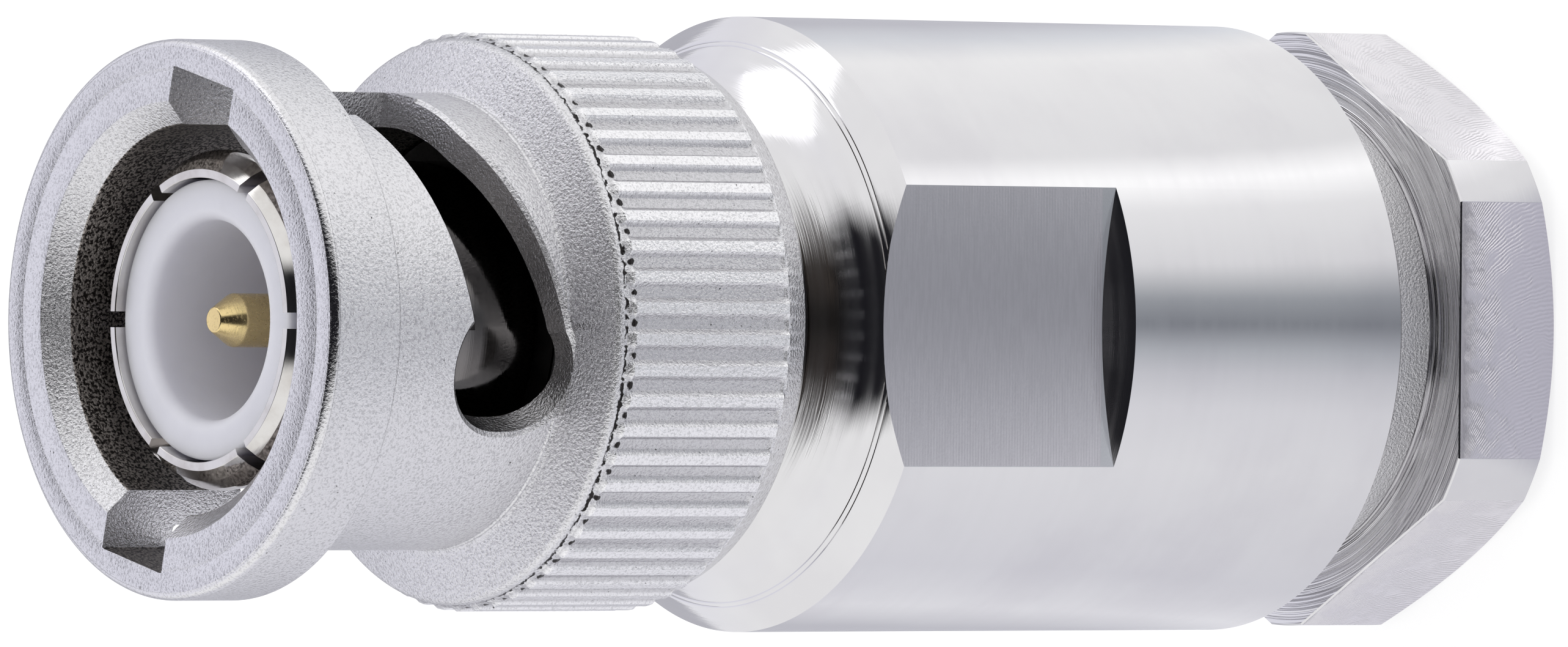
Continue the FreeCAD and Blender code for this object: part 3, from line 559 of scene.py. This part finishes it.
materials = {
    "castNickel": makeCastNickel(),
    "turnedNickel": makeTurnedNickel("turnedNickel"),
    "bodyNickel": makeTurnedNickel("bodyNickel", bodyFlats),
    "nutNickel": makeTurnedNickel("nutNickel", nutFlats, nutThread, lineSpacing=0.09, lineDepth=0.008),
    "fingerNickel": makeLinedMetal("fingerNickel", fingerNickel),
    "ptfe": makePlainFinish("ptfe", ptfe, Subsurface_Weight=1.0, Subsurface_Scale=0.0009,
                            Subsurface_Radius=(1.0, 1.0, 1.0), IOR=1.35),
    "goldPlate": makePlainFinish("goldPlate", goldPlate, Metallic=1.0),
    "springSteel": makeLinedMetal("springSteel", springSteel),
    "silicone": makePlainFinish("silicone", silicone),
    "gasketRubber": makePlainFinish("gasketRubber", gasketRubber),
}
print("materials ready:", len(materials))


# Coupling ring. Heights run from the clamp nut's rear face

couplingRing = {
    "foot": 24.45, "top": 39.4, "tailRadius": 6.9, "tailBevel": 0.16, "knurlRadius": 7.3, "knurlFoot": 25.4,
    "knurlTop": 30.43, "knurlBevel": 0.08, "knurlShoulder": 0.2, "rimRadius": 7.15, "rimTop": 30.68,
    "riseRound": 0.25, "neckFoot": 31.23, "neckRadius": 5.75, "neckTop": 37.3, "neckRound": 0.12,
    "flangeRadius": 7.0, "flangeRound": 0.24, "lineRadius": 6.235, "lineHalfWidth": 0.035, "lineDepth": 0.014,
    "mouthRadius": 5.44, "mouthDepth": 0.56, "boreRadius": 4.88, "stopHeight": 29.25, "chamberRadius": 6.35,
    "chamberBevel": 0.2, "snapDepth": 0.3, "snapHeights": (0.8, 1.6), "seamHeight": 0.03, "seamHalfWidth": 0.03,
    "grooveCount": 58, "grooveDepth": 0.14, "grooveShare": 0.42, "grooveFlank": 0.22, "grooveRunOut": 0.16,
    "columnsPerGroove": 12, "knurlStop": 0.25, "riseFoot": (0.12, 0.08), "seamEnd": 0.07,
}
# angles in degrees, heights in mm down from the ring's top
bayonetSlot = {
    "turn": 76.5, "entryWidth": 2.6, "entryFoot": 4.2, "grooveRadius": 6.2, "grooveEnd": 6.62,
    "grooveBevel": (0.02, 0.1), "camFoot": 4.3, "camFront": 3.98, "camFrontRise": 1.24, "camRearRise": 1.55,
    "camTurn": 88.5, "camLead": 20.7, "pocketRadius": 1.7, "pocketFront": 6.55, "pocketRear": 6.80,
    "edgeBevel": 0.10, "cutterMargin": 0.02, "cutterReach": 0.2, "cutterTop": 0.5, "steps": 24,
    "pocketSteps": 48,
}


def ringOutline():
    ring = couplingRing
    foot, top, stop = ring["foot"], ring["top"], ring["stopHeight"]
    tail, bevel = ring["tailRadius"], ring["tailBevel"]
    knurl, knurlFoot, knurlTop = ring["knurlRadius"], ring["knurlFoot"], ring["knurlTop"]
    step, shoulder, runOut = ring["knurlBevel"], ring["knurlShoulder"], ring["grooveRunOut"]
    rim, rise = ring["rimRadius"], ring["riseRound"]
    neck, neckFoot, neckTop, hollow = ring["neckRadius"], ring["neckFoot"], ring["neckTop"], ring["neckRound"]
    seam, seamHalf = ring["seamHeight"], ring["seamHalfWidth"]
    flange, line, lineHalf = ring["flangeRadius"], ring["lineRadius"], ring["lineHalfWidth"]
    bore, chamber, snap = ring["boreRadius"], ring["chamberRadius"], ring["chamberRadius"] + ring["snapDepth"]
    snapFoot, snapTop = [foot + height for height in ring["snapHeights"]]
    out, down = ring["riseFoot"]
    return [
        (chamber + ring["chamberBevel"], foot), (tail - bevel, foot), (tail, foot + bevel, 0.1),
        (knurl - step, knurlFoot - step, 0.1), (knurl, knurlFoot, 0.04), (knurl, knurlFoot + runOut),
        (knurl, knurlTop - ring["knurlStop"] - runOut), (knurl, knurlTop - shoulder, 0.06), (rim, knurlTop),
        (rim, ring["rimTop"], rise), (neck + out, neckFoot - down, rise),
        (neck + seam, neckFoot - seamHalf), (neck + seam, neckFoot + seamHalf),
        (neck, neckFoot + ring["seamEnd"]), (neck, (neckFoot + neckTop) / 2), (neck, neckTop, hollow),
        (flange, neckTop, hollow), (flange, top, ring["flangeRound"]), (line + lineHalf, top),
        (line, top - ring["lineDepth"]), (line - lineHalf, top), (ring["mouthRadius"], top, 0.05),
        (bore, top - ring["mouthDepth"], 0.1), (bore, (top + stop) / 2), (bore, stop), (chamber, stop),
        (chamber, snapTop), (snap, snapTop), (snap, snapFoot), (chamber, snapFoot),
        (chamber, foot + ring["chamberBevel"]),
    ]


def buildCouplingRing():
    ring = couplingRing
    outline = roundCorners(ringOutline())
    pitch, share, flank = 360 / ring["grooveCount"], ring["grooveShare"], ring["grooveFlank"]

    def columnAt(angle):
        place = abs((angle / pitch + 0.5) % 1 - 0.5) * 2      # 0 in the middle of a groove, 1 on a ridge
        depth = ring["grooveDepth"] * min(1.0, max(0.0, (share + flank - place) / flank))
        column = []
        for radius, height in outline:
            fromEnd = min(height - ring["knurlFoot"] + 0.1, ring["knurlTop"] - 0.1 - height)
            part = min(1.0, max(0.0, fromEnd / ring["grooveRunOut"]))
            column.append((radius - depth * part if radius > ring["rimRadius"] - 0.01 else radius, height))
        return column

    piece = revolve("couplingRing", columnAt, ringAngles(ring["grooveCount"] * ring["columnsPerGroove"]))
    combine(piece, [slotCutter(0), slotCutter(180)])
    return piece


def slotCutter(turn):
    # one J-slot: a groove in from the mouth, a track that climbs round the neck, and a round pocket
    slot, ring = bayonetSlot, couplingRing
    neck, top, start = ring["neckRadius"], ring["top"], slot["turn"]
    half = math.degrees(slot["entryWidth"] / 2 / neck)
    pocket, lead = start - slot["camTurn"], start - slot["camLead"]
    grown = slot["edgeBevel"] + slot["cutterMargin"]
    levels = ((slot["camFoot"], 0.0), (neck - slot["edgeBevel"], 0.0), (neck + slot["cutterMargin"], grown),
              (neck + slot["cutterReach"], grown))

    def at(radius, angle, height):
        spin = math.radians(angle + turn - 90)
        return (radius * math.cos(spin) * mm, radius * math.sin(spin) * mm, height * mm)

    def frontEdge(angle):
        return top - slot["camFront"] - slot["camFrontRise"] * math.radians(start - half - angle)

    def rearEdge(angle):
        return top - slot["grooveEnd"] - slot["camRearRise"] * math.radians(max(0.0, lead - angle))

    track = []
    for step in range(slot["steps"] + 1):
        angle = start + (pocket - start) * step / slot["steps"]
        track.append([at(radius, angle, frontEdge(angle) + grow) for radius, grow in levels]
                     + [at(radius, angle, rearEdge(angle) - grow) for radius, grow in reversed(levels)])

    hollow = []
    middle = top - (slot["pocketFront"] + slot["pocketRear"]) / 2
    for radius, grow in levels:
        loop = []
        for step in range(slot["pocketSteps"]):
            spin = 2 * math.pi * step / slot["pocketSteps"]
            across = (slot["pocketRadius"] + grow) * math.cos(spin)
            along = (slot["pocketRadius"] + grow) * math.sin(spin)
            along += math.copysign((slot["pocketRear"] - slot["pocketFront"]) / 2, along)
            loop.append(at(radius, pocket + math.degrees(across / neck), middle + along))
        hollow.append(loop)

    width, floor = slot["entryWidth"] / 2, slot["grooveRadius"]
    rise, side = slot["grooveBevel"]
    reach = [(slot["entryFoot"], width), (floor - rise, width), (floor, width - side)]
    section = [(radius, -across) for radius, across in reach] + reach[::-1]
    entry = []
    for height in (top - slot["grooveEnd"], top + slot["cutterTop"]):
        entry.append([at(math.hypot(radius, across), start + math.degrees(math.atan2(across, radius)), height)
                      for radius, across in section])

    cutter = closedSolid("trackCutter", track)
    combine(cutter, [closedSolid("pocketCutter", hollow), closedSolid("grooveCutter", entry)], "UNION")
    return cutter


finishPiece(buildCouplingRing(), materials["castNickel"], "ring", "coupling_ring", 28)


# Plug body: turned shell with two milled flats, each ending in a wall that follows the body round

plugBody = {
    "foot": 5.75, "radius": 7.85, "shoulder": 21.5, "shoulderTop": 22.0, "shoulderRadius": 7.3,
    "coneTop": 23.1, "coneTopRadius": 5.65, "noseRadius": 5.42, "noseTop": 23.5, "noseBevel": 0.05,
    "sweepRadii": (6.5, 5.74), "sweepTop": 23.45, "sweepSteps": 8, "boreRadius": 6.15, "boreDepth": 12.25,
    "lipRadius": 3.9, "lipLength": 0.8, "threadRadius": 5.05, "flatHeight": 7.0, "wallFoot": 15.13,
    "wallLean": 0.42, "edgeBreak": 0.2, "scoreRadii": (7.2, 7.09), "scoreHalfWidth": 0.03, "scoreDepth": 0.012,
    "columns": 360,
}


def buildPlugBody():
    body = plugBody
    flat, radius = body["flatHeight"], body["radius"]
    reach = math.degrees(math.acos(flat / radius))
    bore, foot, top = body["boreRadius"], body["foot"], body["noseTop"]
    lean = body["wallLean"] / (radius - flat)
    cavity = foot + body["boreDepth"]
    lip = cavity + body["lipLength"]
    inside = [
        (body["threadRadius"], top), (body["threadRadius"], lip), (body["lipRadius"], lip),
        (body["lipRadius"], cavity), (bore, cavity), (bore, foot + body["edgeBreak"]),
        (bore + body["edgeBreak"], foot),
    ]
    coneSlope = (body["coneTop"] - body["shoulderTop"]) / (body["shoulderRadius"] - body["coneTopRadius"])
    shoulderSlope = (body["shoulderTop"] - body["shoulder"]) / (radius - body["shoulderRadius"])

    def coneHeight(around):
        return body["shoulderTop"] + (body["shoulderRadius"] - around) * coneSlope

    def scoreLines(limit):
        # two fine grooves round the cone, below the shoulder, squeezed in where a flat cuts lower
        points, half = [], body["scoreHalfWidth"]
        for line in body["scoreRadii"]:
            for step, depth in ((half, 0), (0, body["scoreDepth"]), (-half, 0)):
                around = min(line + step, limit - 0.001 - 0.0003 * len(points))
                points.append((around, coneHeight(around) - depth))
        return points

    def sweep():
        # a hollow curve, from the cone's own slope to a steeper one at the nose
        start, bend = [Vector((around, coneHeight(around))) for around in body["sweepRadii"]]
        end = Vector((body["noseRadius"], body["sweepTop"]))
        shares = [step / body["sweepSteps"] for step in range(body["sweepSteps"] + 1)]
        return [start * (1 - s) ** 2 + bend * 2 * s * (1 - s) + end * s * s for s in shares]

    def columnAt(angle):
        away = abs((angle + 90) % 180 - 90)
        here = min(radius, flat / math.cos(math.radians(min(away, reach))))
        wall = body["wallFoot"] - (here - flat) * lean
        rim = body["wallFoot"] - (radius - flat) * lean
        if here > body["shoulderRadius"]:
            flatTop = body["shoulder"] + (radius - here) * shoulderSlope
        else:
            flatTop = coneHeight(here)
        low = max(flatTop, body["shoulderTop"])
        lowRadius = min(here, body["shoulderRadius"])
        outside = [
            (radius - body["edgeBreak"], foot), (radius, foot + body["edgeBreak"]), (radius, (foot + rim) / 2),
            (radius, rim), (here, wall), (here, (wall + flatTop) / 2), (here, flatTop), (lowRadius, low),
            *scoreLines(lowRadius), *sweep(), (body["noseRadius"] - body["noseBevel"], top),
        ]
        return outside + inside

    edges = [side + sign * reach for side in (0, 180) for sign in (-1, 1)]
    return revolve("plugBody", columnAt, ringAngles(body["columns"], edges))


finishPiece(buildPlugBody(), materials["bodyNickel"], "plug", "plug_body", 18)


# Clamp nut: hexagon with a turned rear bevel and a hollow threaded neck

clampNut = {
    "flatHeight": 7.0, "cornerRadius": 7.75, "faceRadius": 6.85, "length": 3.25, "bevel": 30.0,
    "faceBevel": 0.04, "reliefRadius": 5.92, "reliefTop": 3.33, "threadRadius": 6.1, "threadFoot": 3.4,
    "top": 8.15, "boreRadius": 5.35, "edgeBreak": 0.2, "columns": 360,
}


def buildClampNut():
    nut = clampNut
    reach = math.degrees(math.acos(nut["flatHeight"] / nut["cornerRadius"]))
    slope = math.tan(math.radians(nut["bevel"]))
    edge, bore, length, step = nut["edgeBreak"], nut["boreRadius"], nut["length"], nut["faceBevel"]
    thread, relief, top = nut["threadRadius"], nut["reliefRadius"], nut["top"]

    def columnAt(angle):
        away = abs((angle + 30) % 60 - 30)
        here = nut["flatHeight"] / math.cos(math.radians(away)) if away < reach else nut["cornerRadius"]
        bevelTop = (here - nut["faceRadius"]) * slope
        return [
            (bore + edge, 0), (nut["faceRadius"], 0), (here, bevelTop), (here, (bevelTop + length) / 2),
            (here, length - step), (here - step, length), (relief, length), (relief, nut["reliefTop"]),
            (thread, nut["threadFoot"]), (thread, top - edge), (thread - edge, top), (bore, top), (bore, edge),
        ]

    edges = [side * 60 + sign * reach for side in range(6) for sign in (-1, 1)]
    return revolve("clampNut", columnAt, ringAngles(nut["columns"], edges))


finishPiece(buildClampNut(), materials["nutNickel"], "nut", "clamp_nut", 18)


# Outer contact: threaded tail, barrel, spring collar, seal collar and six sprung fingers

outerContact = {
    "foot": 18.85, "tailTop": 23.5, "tailRadius": 5.0, "barrelRadius": 5.4, "collarFoot": 28.35,
    "collarRadius": 6.3, "sealFoot": 29.25, "sealRadius": 4.8, "sealTop": 29.75, "fingerRadius": 4.05,
    "swellFoot": 36.1, "swellRadius": 4.28, "swellTop": 37.8, "noseRadius": 4.02, "noseFoot": 38.2,
    "tipRadius": 3.76, "top": 38.45, "fingerBore": 3.55, "rearBore": 4.25, "boreStep": 27.35, "edgeBreak": 0.2,
    "slitCount": 6, "slitWidth": 0.4, "slitLength": 5.6, "cutterLength": 12, "cutterTop": 1, "columns": 288,
}


def buildOuterContact():
    contact = outerContact
    rear, tail, barrel = contact["rearBore"], contact["tailRadius"], contact["barrelRadius"]
    foot, top, edge = contact["foot"], contact["top"], contact["edgeBreak"]
    collar, collarFoot = contact["collarRadius"], contact["collarFoot"]
    seal, sealFoot, sealTop = contact["sealRadius"], contact["sealFoot"], contact["sealTop"]
    finger, bore = contact["fingerRadius"], contact["fingerBore"]
    outline = roundCorners([
        (rear, foot), (tail - edge, foot), (tail, foot + edge), (tail, contact["tailTop"]),
        (barrel, contact["tailTop"]), (barrel, collarFoot), (collar, collarFoot), (collar, sealFoot),
        (seal, sealFoot), (seal, sealTop), (finger, sealTop), (finger, contact["swellFoot"], 0.8),
        (contact["swellRadius"], contact["swellTop"], 0.4), (contact["noseRadius"], contact["noseFoot"], 0.12),
        (contact["tipRadius"], top, 0.04), (bore, top, 0.03), (bore, contact["boreStep"]),
        (rear, contact["boreStep"]),
    ], steps=7)
    piece = revolve("outerContact", lambda angle: outline, ringAngles(contact["columns"]))
    length, past = contact["slitLength"], contact["cutterTop"]
    size = Vector((contact["slitWidth"], contact["cutterLength"], length + past)) * mm
    cutters = []
    for side in range(contact["slitCount"] // 2):
        slit = bmesh.new()
        bmesh.ops.create_cube(slit, size=1)
        for vert in slit.verts:
            vert.co = Vector(vert.co[k] * size[k] for k in range(3))
            vert.co.z += (top + (past - length) / 2) * mm
        turn = Matrix.Rotation(math.radians(360 / contact["slitCount"] * side), 3, "Z")
        bmesh.ops.rotate(slit, verts=slit.verts, matrix=turn)
        cutters.append(meshObject("slitCutter", slit))
    combine(piece, cutters)
    return piece


finishPiece(buildOuterContact(), materials["fingerNickel"], "plug", "outer_contact", 30)


# Front insulator: a white sleeve with the recess round the pin

frontInsulator = {
    "foot": 22.35, "bodyTop": 27.3, "top": 38.21, "plugRadius": 4.2, "stemRadius": 3.5, "recessRadius": 2.5,
    "recessFloor": 33.31, "holeRadius": 1.05, "columns": 192,
}


def buildFrontInsulator():
    sleeve = frontInsulator
    outline = roundCorners([
        (sleeve["holeRadius"], sleeve["foot"]), (sleeve["plugRadius"], sleeve["foot"]),
        (sleeve["plugRadius"], sleeve["bodyTop"]), (sleeve["stemRadius"], sleeve["bodyTop"]),
        (sleeve["stemRadius"], sleeve["top"], 0.08), (sleeve["recessRadius"], sleeve["top"], 0.3),
        (sleeve["recessRadius"], sleeve["recessFloor"], 0.15), (sleeve["holeRadius"], sleeve["recessFloor"]),
    ])
    return revolve("frontInsulator", lambda angle: outline, ringAngles(sleeve["columns"]))


finishPiece(buildFrontInsulator(), materials["ptfe"], "plug", "front_insulator", 30)


# Centre pin: solder cup, collar, shank and mating pin

centrePin = {
    "foot": 16.35, "cupTop": 21.55, "collarTop": 22.35, "shankTop": 33.31, "top": 37.98, "cupRadius": 1.6,
    "cupBore": 1.2, "cupDepth": 4.2, "collarRadius": 1.9, "shankRadius": 1.0, "pinRadius": 0.675,
    "coneFoot": 37.38, "tipRadius": 0.31, "axisRadius": 0.0001, "columns": 96,
}


def buildCentrePin():
    pin = centrePin
    cupFloor = pin["foot"] + pin["cupDepth"]
    outline = roundCorners([
        (pin["cupBore"], pin["foot"]), (pin["cupRadius"], pin["foot"]), (pin["cupRadius"], pin["cupTop"]),
        (pin["collarRadius"], pin["cupTop"]), (pin["collarRadius"], pin["collarTop"]),
        (pin["shankRadius"], pin["collarTop"]), (pin["shankRadius"], pin["shankTop"]),
        (pin["pinRadius"], pin["shankTop"]), (pin["pinRadius"], pin["coneFoot"], 0.12),
        (pin["tipRadius"], pin["top"], 0.06), (pin["axisRadius"], pin["top"]), (pin["axisRadius"], cupFloor),
        (pin["cupBore"], cupFloor),
    ])
    return revolve("centrePin", lambda angle: outline, ringAngles(pin["columns"]))


finishPiece(buildCentrePin(), materials["goldPlate"], "plug", "center_pin", 30)


# Carried-over CAD pieces, which need only their finish

carriedOver = {
    "rear_insulator": "ptfe", "face_gasket": "silicone", "thrust_washer": "turnedNickel",
    "retaining_ring": "springSteel", "braid_clamp": "turnedNickel", "slip_washer": "turnedNickel",
}
for node, finish in carriedOver.items():
    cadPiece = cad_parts[node]
    cadPiece.data.materials.clear()
    cadPiece.data.materials.append(materials[finish])
print("carried over:", len(carriedOver), "CAD pieces")


# Pieces that give way: the wave washers flatten as the ring is drawn forward, the gasket as the nut is
# tightened. Here each only gets its own copy of its CAD mesh, its finish and a place on the plug; nothing
# squashes them

waveWasher = {
    "finish": "springSteel", "slot": "spring_steel", "joint": "ring_push", "fixedEnd": 28.35,
    "movingEnd": "wave_washer_rear", "travel": 0.8,
}
givingWay = {
    "waveWasherFront": {"node": "wave_washer_front", **waveWasher},
    "waveWasherRear": {"node": "wave_washer_rear", **waveWasher},
    "vGasket": {
        "node": "v_gasket", "finish": "gasketRubber", "slot": "gasket_rubber", "joint": "nut_travel",
        "fixedEnd": 13.6, "movingEnd": "v_gasket", "travel": 2.2,
    },
}
for name, soft in givingWay.items():
    piece = bpy.data.objects.new(name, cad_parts[soft["node"]].data.copy())
    bpy.context.scene.collection.objects.link(piece)
    piece.data.materials.clear()
    piece.data.materials.append(materials[soft["finish"]])
    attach(piece, "plug")
    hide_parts(soft["node"])
    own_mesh(piece)


# Floor, world, lights and camera. Metal shows the floor and sky as a studio: white, with a dark gap in front

studio = {
    "floorSize": 3.0, "white": (1.0, 1.0, 1.0), "floorDiffuse": (0.4, 0.4, 0.4), "floorGlow": 0.7,
    "floorBounce": (0.8, 0.8, 0.8), "worldStrength": 1.0, "keyPower": 0.14, "keySize": 0.26,
    "keyPlace": (0.42, 0.24, 0.36), "gapHalfWidth": (0.50, 0.34), "gapMiddle": 0.04,
    "gapElevation": (-4, 10, 118, 134), "gapColour": (0.012, 0.012, 0.015), "nearColour": (0.55, 0.55, 0.62),
    "nearRadius": 12.5, "nearFade": 1.5, "nearShares": (0.42, 0.58), "nearEdge": 0.015,
    "backColour": (0.92, 0.92, 1.01), "backElevation": (80, 120), "backHalfWidth": (0.85, 0.3),
    "skyColour": (1.05, 1.05, 1.05),
}
# what metal sees on the floor: degrees round the plug from the camera's side, and the colour there
floorSectors = [
    (-180, (0.45, 0.45, 0.49)), (-140, (0.55, 0.55, 0.60)), (-116, (0.84, 0.84, 0.88)),
    (-90, (0.76, 0.76, 0.81)), (-45, (0.86, 0.86, 0.89)), (-25, (0.80, 0.80, 0.84)),
    (-14, (0.66, 0.665, 0.71)), (-7, (0.50, 0.52, 0.56)), (1, (0.25, 0.265, 0.295)),
    (9, (0.37, 0.39, 0.42)), (20, (0.84, 0.84, 0.86)), (38, (0.96, 0.96, 0.97)), (48, (1.25, 1.25, 1.25)),
    (58, (0.92, 0.92, 0.93)), (105, (1.0, 1.0, 1.0)), (121, (0.76, 0.78, 0.82)), (140, (0.55, 0.55, 0.60)),
    (180, (0.45, 0.45, 0.49)),
]


def makeFloor():
    mesh = bmesh.new()
    bmesh.ops.create_grid(mesh, x_segments=1, y_segments=1, size=studio["floorSize"] / 2)
    floor = meshObject("floor", mesh)
    material = bpy.data.materials.new("paleFloor")
    material.use_nodes = True
    tree = material.node_tree
    tree.nodes.clear()
    rays = addNode(tree, "ShaderNodeLightPath")
    away, parts = radiusOf(tree, objectMm(tree))
    around = mapRange(tree, angleOf(tree, parts), -math.pi, math.pi, 0.0, 1.0, "LINEAR")
    ramp = addNode(tree, "ShaderNodeValToRGB", Fac=around)
    stops = ramp.color_ramp.elements
    stops[0].color, stops[1].color = (*floorSectors[0][1], 1), (*floorSectors[-1][1], 1)
    for angle, colour in floorSectors[1:-1]:
        stops.new((angle + 180) / 360).color = (*colour, 1)
    near = mapRange(tree, away, studio["nearRadius"], studio["nearRadius"] - studio["nearFade"])
    near = times(tree, near, between(tree, around, *studio["nearShares"], studio["nearEdge"]))
    ground = mixColour(tree, near, ramp.outputs[0], studio["nearColour"])
    seen = mixColour(tree, rays.outputs["Is Glossy Ray"], studio["white"], ground)
    lit = mixColour(tree, 1.0, seen, studio["floorDiffuse"], "MULTIPLY")
    white = addNode(tree, "ShaderNodeBsdfDiffuse", Color=lit)
    glow = addNode(tree, "ShaderNodeEmission", Color=seen, Strength=studio["floorGlow"])
    bright = addNode(tree, "ShaderNodeAddShader", i0=white.outputs[0], i1=glow.outputs[0])
    plain = addNode(tree, "ShaderNodeBsdfDiffuse", Color=(*studio["floorBounce"], 1))
    shown = maths(tree, "MAXIMUM", rays.outputs["Is Camera Ray"], rays.outputs["Is Glossy Ray"])
    shown = maths(tree, "MAXIMUM", shown, rays.outputs["Is Transmission Ray"])
    mix = addNode(tree, "ShaderNodeMixShader", i0=shown, i1=plain.outputs[0], i2=bright.outputs[0])
    out = addNode(tree, "ShaderNodeOutputMaterial")
    tree.links.new(mix.outputs[0], out.inputs[0])
    floor.data.materials.append(material)


def makeWorld():
    world = bpy.data.worlds.new("studio")
    bpy.context.scene.world = world
    world.use_nodes = True
    tree = world.node_tree
    tree.nodes.clear()
    towards = addNode(tree, "ShaderNodeTexCoord").outputs["Generated"]
    rays = addNode(tree, "ShaderNodeLightPath")
    parts = addNode(tree, "ShaderNodeSeparateXYZ", i0=towards).outputs
    elevation = maths(tree, "ARCTAN2", parts[2], times(tree, parts[1], -1.0))
    elevation = times(tree, elevation, 180 / math.pi)
    low, start, stop, high = studio["gapElevation"]
    gap = times(tree, mapRange(tree, elevation, low, start), mapRange(tree, elevation, high, stop))
    across = maths(tree, "ABSOLUTE", maths(tree, "SUBTRACT", parts[0], studio["gapMiddle"]))
    gap = times(tree, gap, mapRange(tree, across, *studio["gapHalfWidth"]))
    back = times(tree, mapRange(tree, elevation, *studio["backElevation"]),
                 mapRange(tree, across, *studio["backHalfWidth"]))
    seen = mixColour(tree, back, studio["skyColour"], studio["backColour"])
    seen = mixColour(tree, gap, seen, studio["gapColour"])
    colour = mixColour(tree, rays.outputs["Is Glossy Ray"], studio["white"], seen)
    light = addNode(tree, "ShaderNodeBackground", Color=colour, Strength=studio["worldStrength"])
    out = addNode(tree, "ShaderNodeOutputWorld")
    tree.links.new(light.outputs[0], out.inputs[0])


def makeKeyLight():
    light = bpy.data.lights.new("key", "AREA")
    light.energy = studio["keyPower"]
    light.size = studio["keySize"]
    key = bpy.data.objects.new("key", light)
    bpy.context.scene.collection.objects.link(key)
    key.location = studio["keyPlace"]
    key.rotation_euler = (-Vector(studio["keyPlace"])).to_track_quat("-Z", "Y").to_euler()


# The lens is long: the plug's axis runs away from the camera, and the camera lies on its side
camera = {
    "lens": 418.7, "elevation": 37.861, "roll": -89.535, "distance": 0.466407, "aimHeight": 0.019936,
    "sideways": 0.00003, "sensor": 36, "nearest": 0.01, "farthest": 20,
}


def makeCamera():
    data = bpy.data.cameras.new("camera")
    data.lens = camera["lens"]
    data.sensor_width = camera["sensor"]
    data.clip_start, data.clip_end = camera["nearest"], camera["farthest"]
    eye = bpy.data.objects.new("camera", data)
    bpy.context.scene.collection.objects.link(eye)
    elevation = math.radians(camera["elevation"])
    eye.location = (camera["sideways"], -camera["distance"] * math.cos(elevation),
                    camera["aimHeight"] + camera["distance"] * math.sin(elevation))
    eye.rotation_mode = "ZYX"
    eye.rotation_euler = (math.pi / 2 - elevation, 0, math.radians(camera["roll"]))
    bpy.context.scene.camera = eye


makeFloor()
makeWorld()
makeKeyLight()
makeCamera()
bpy.context.scene.view_settings.view_transform = "Standard"
print("stage, lights and camera ready")
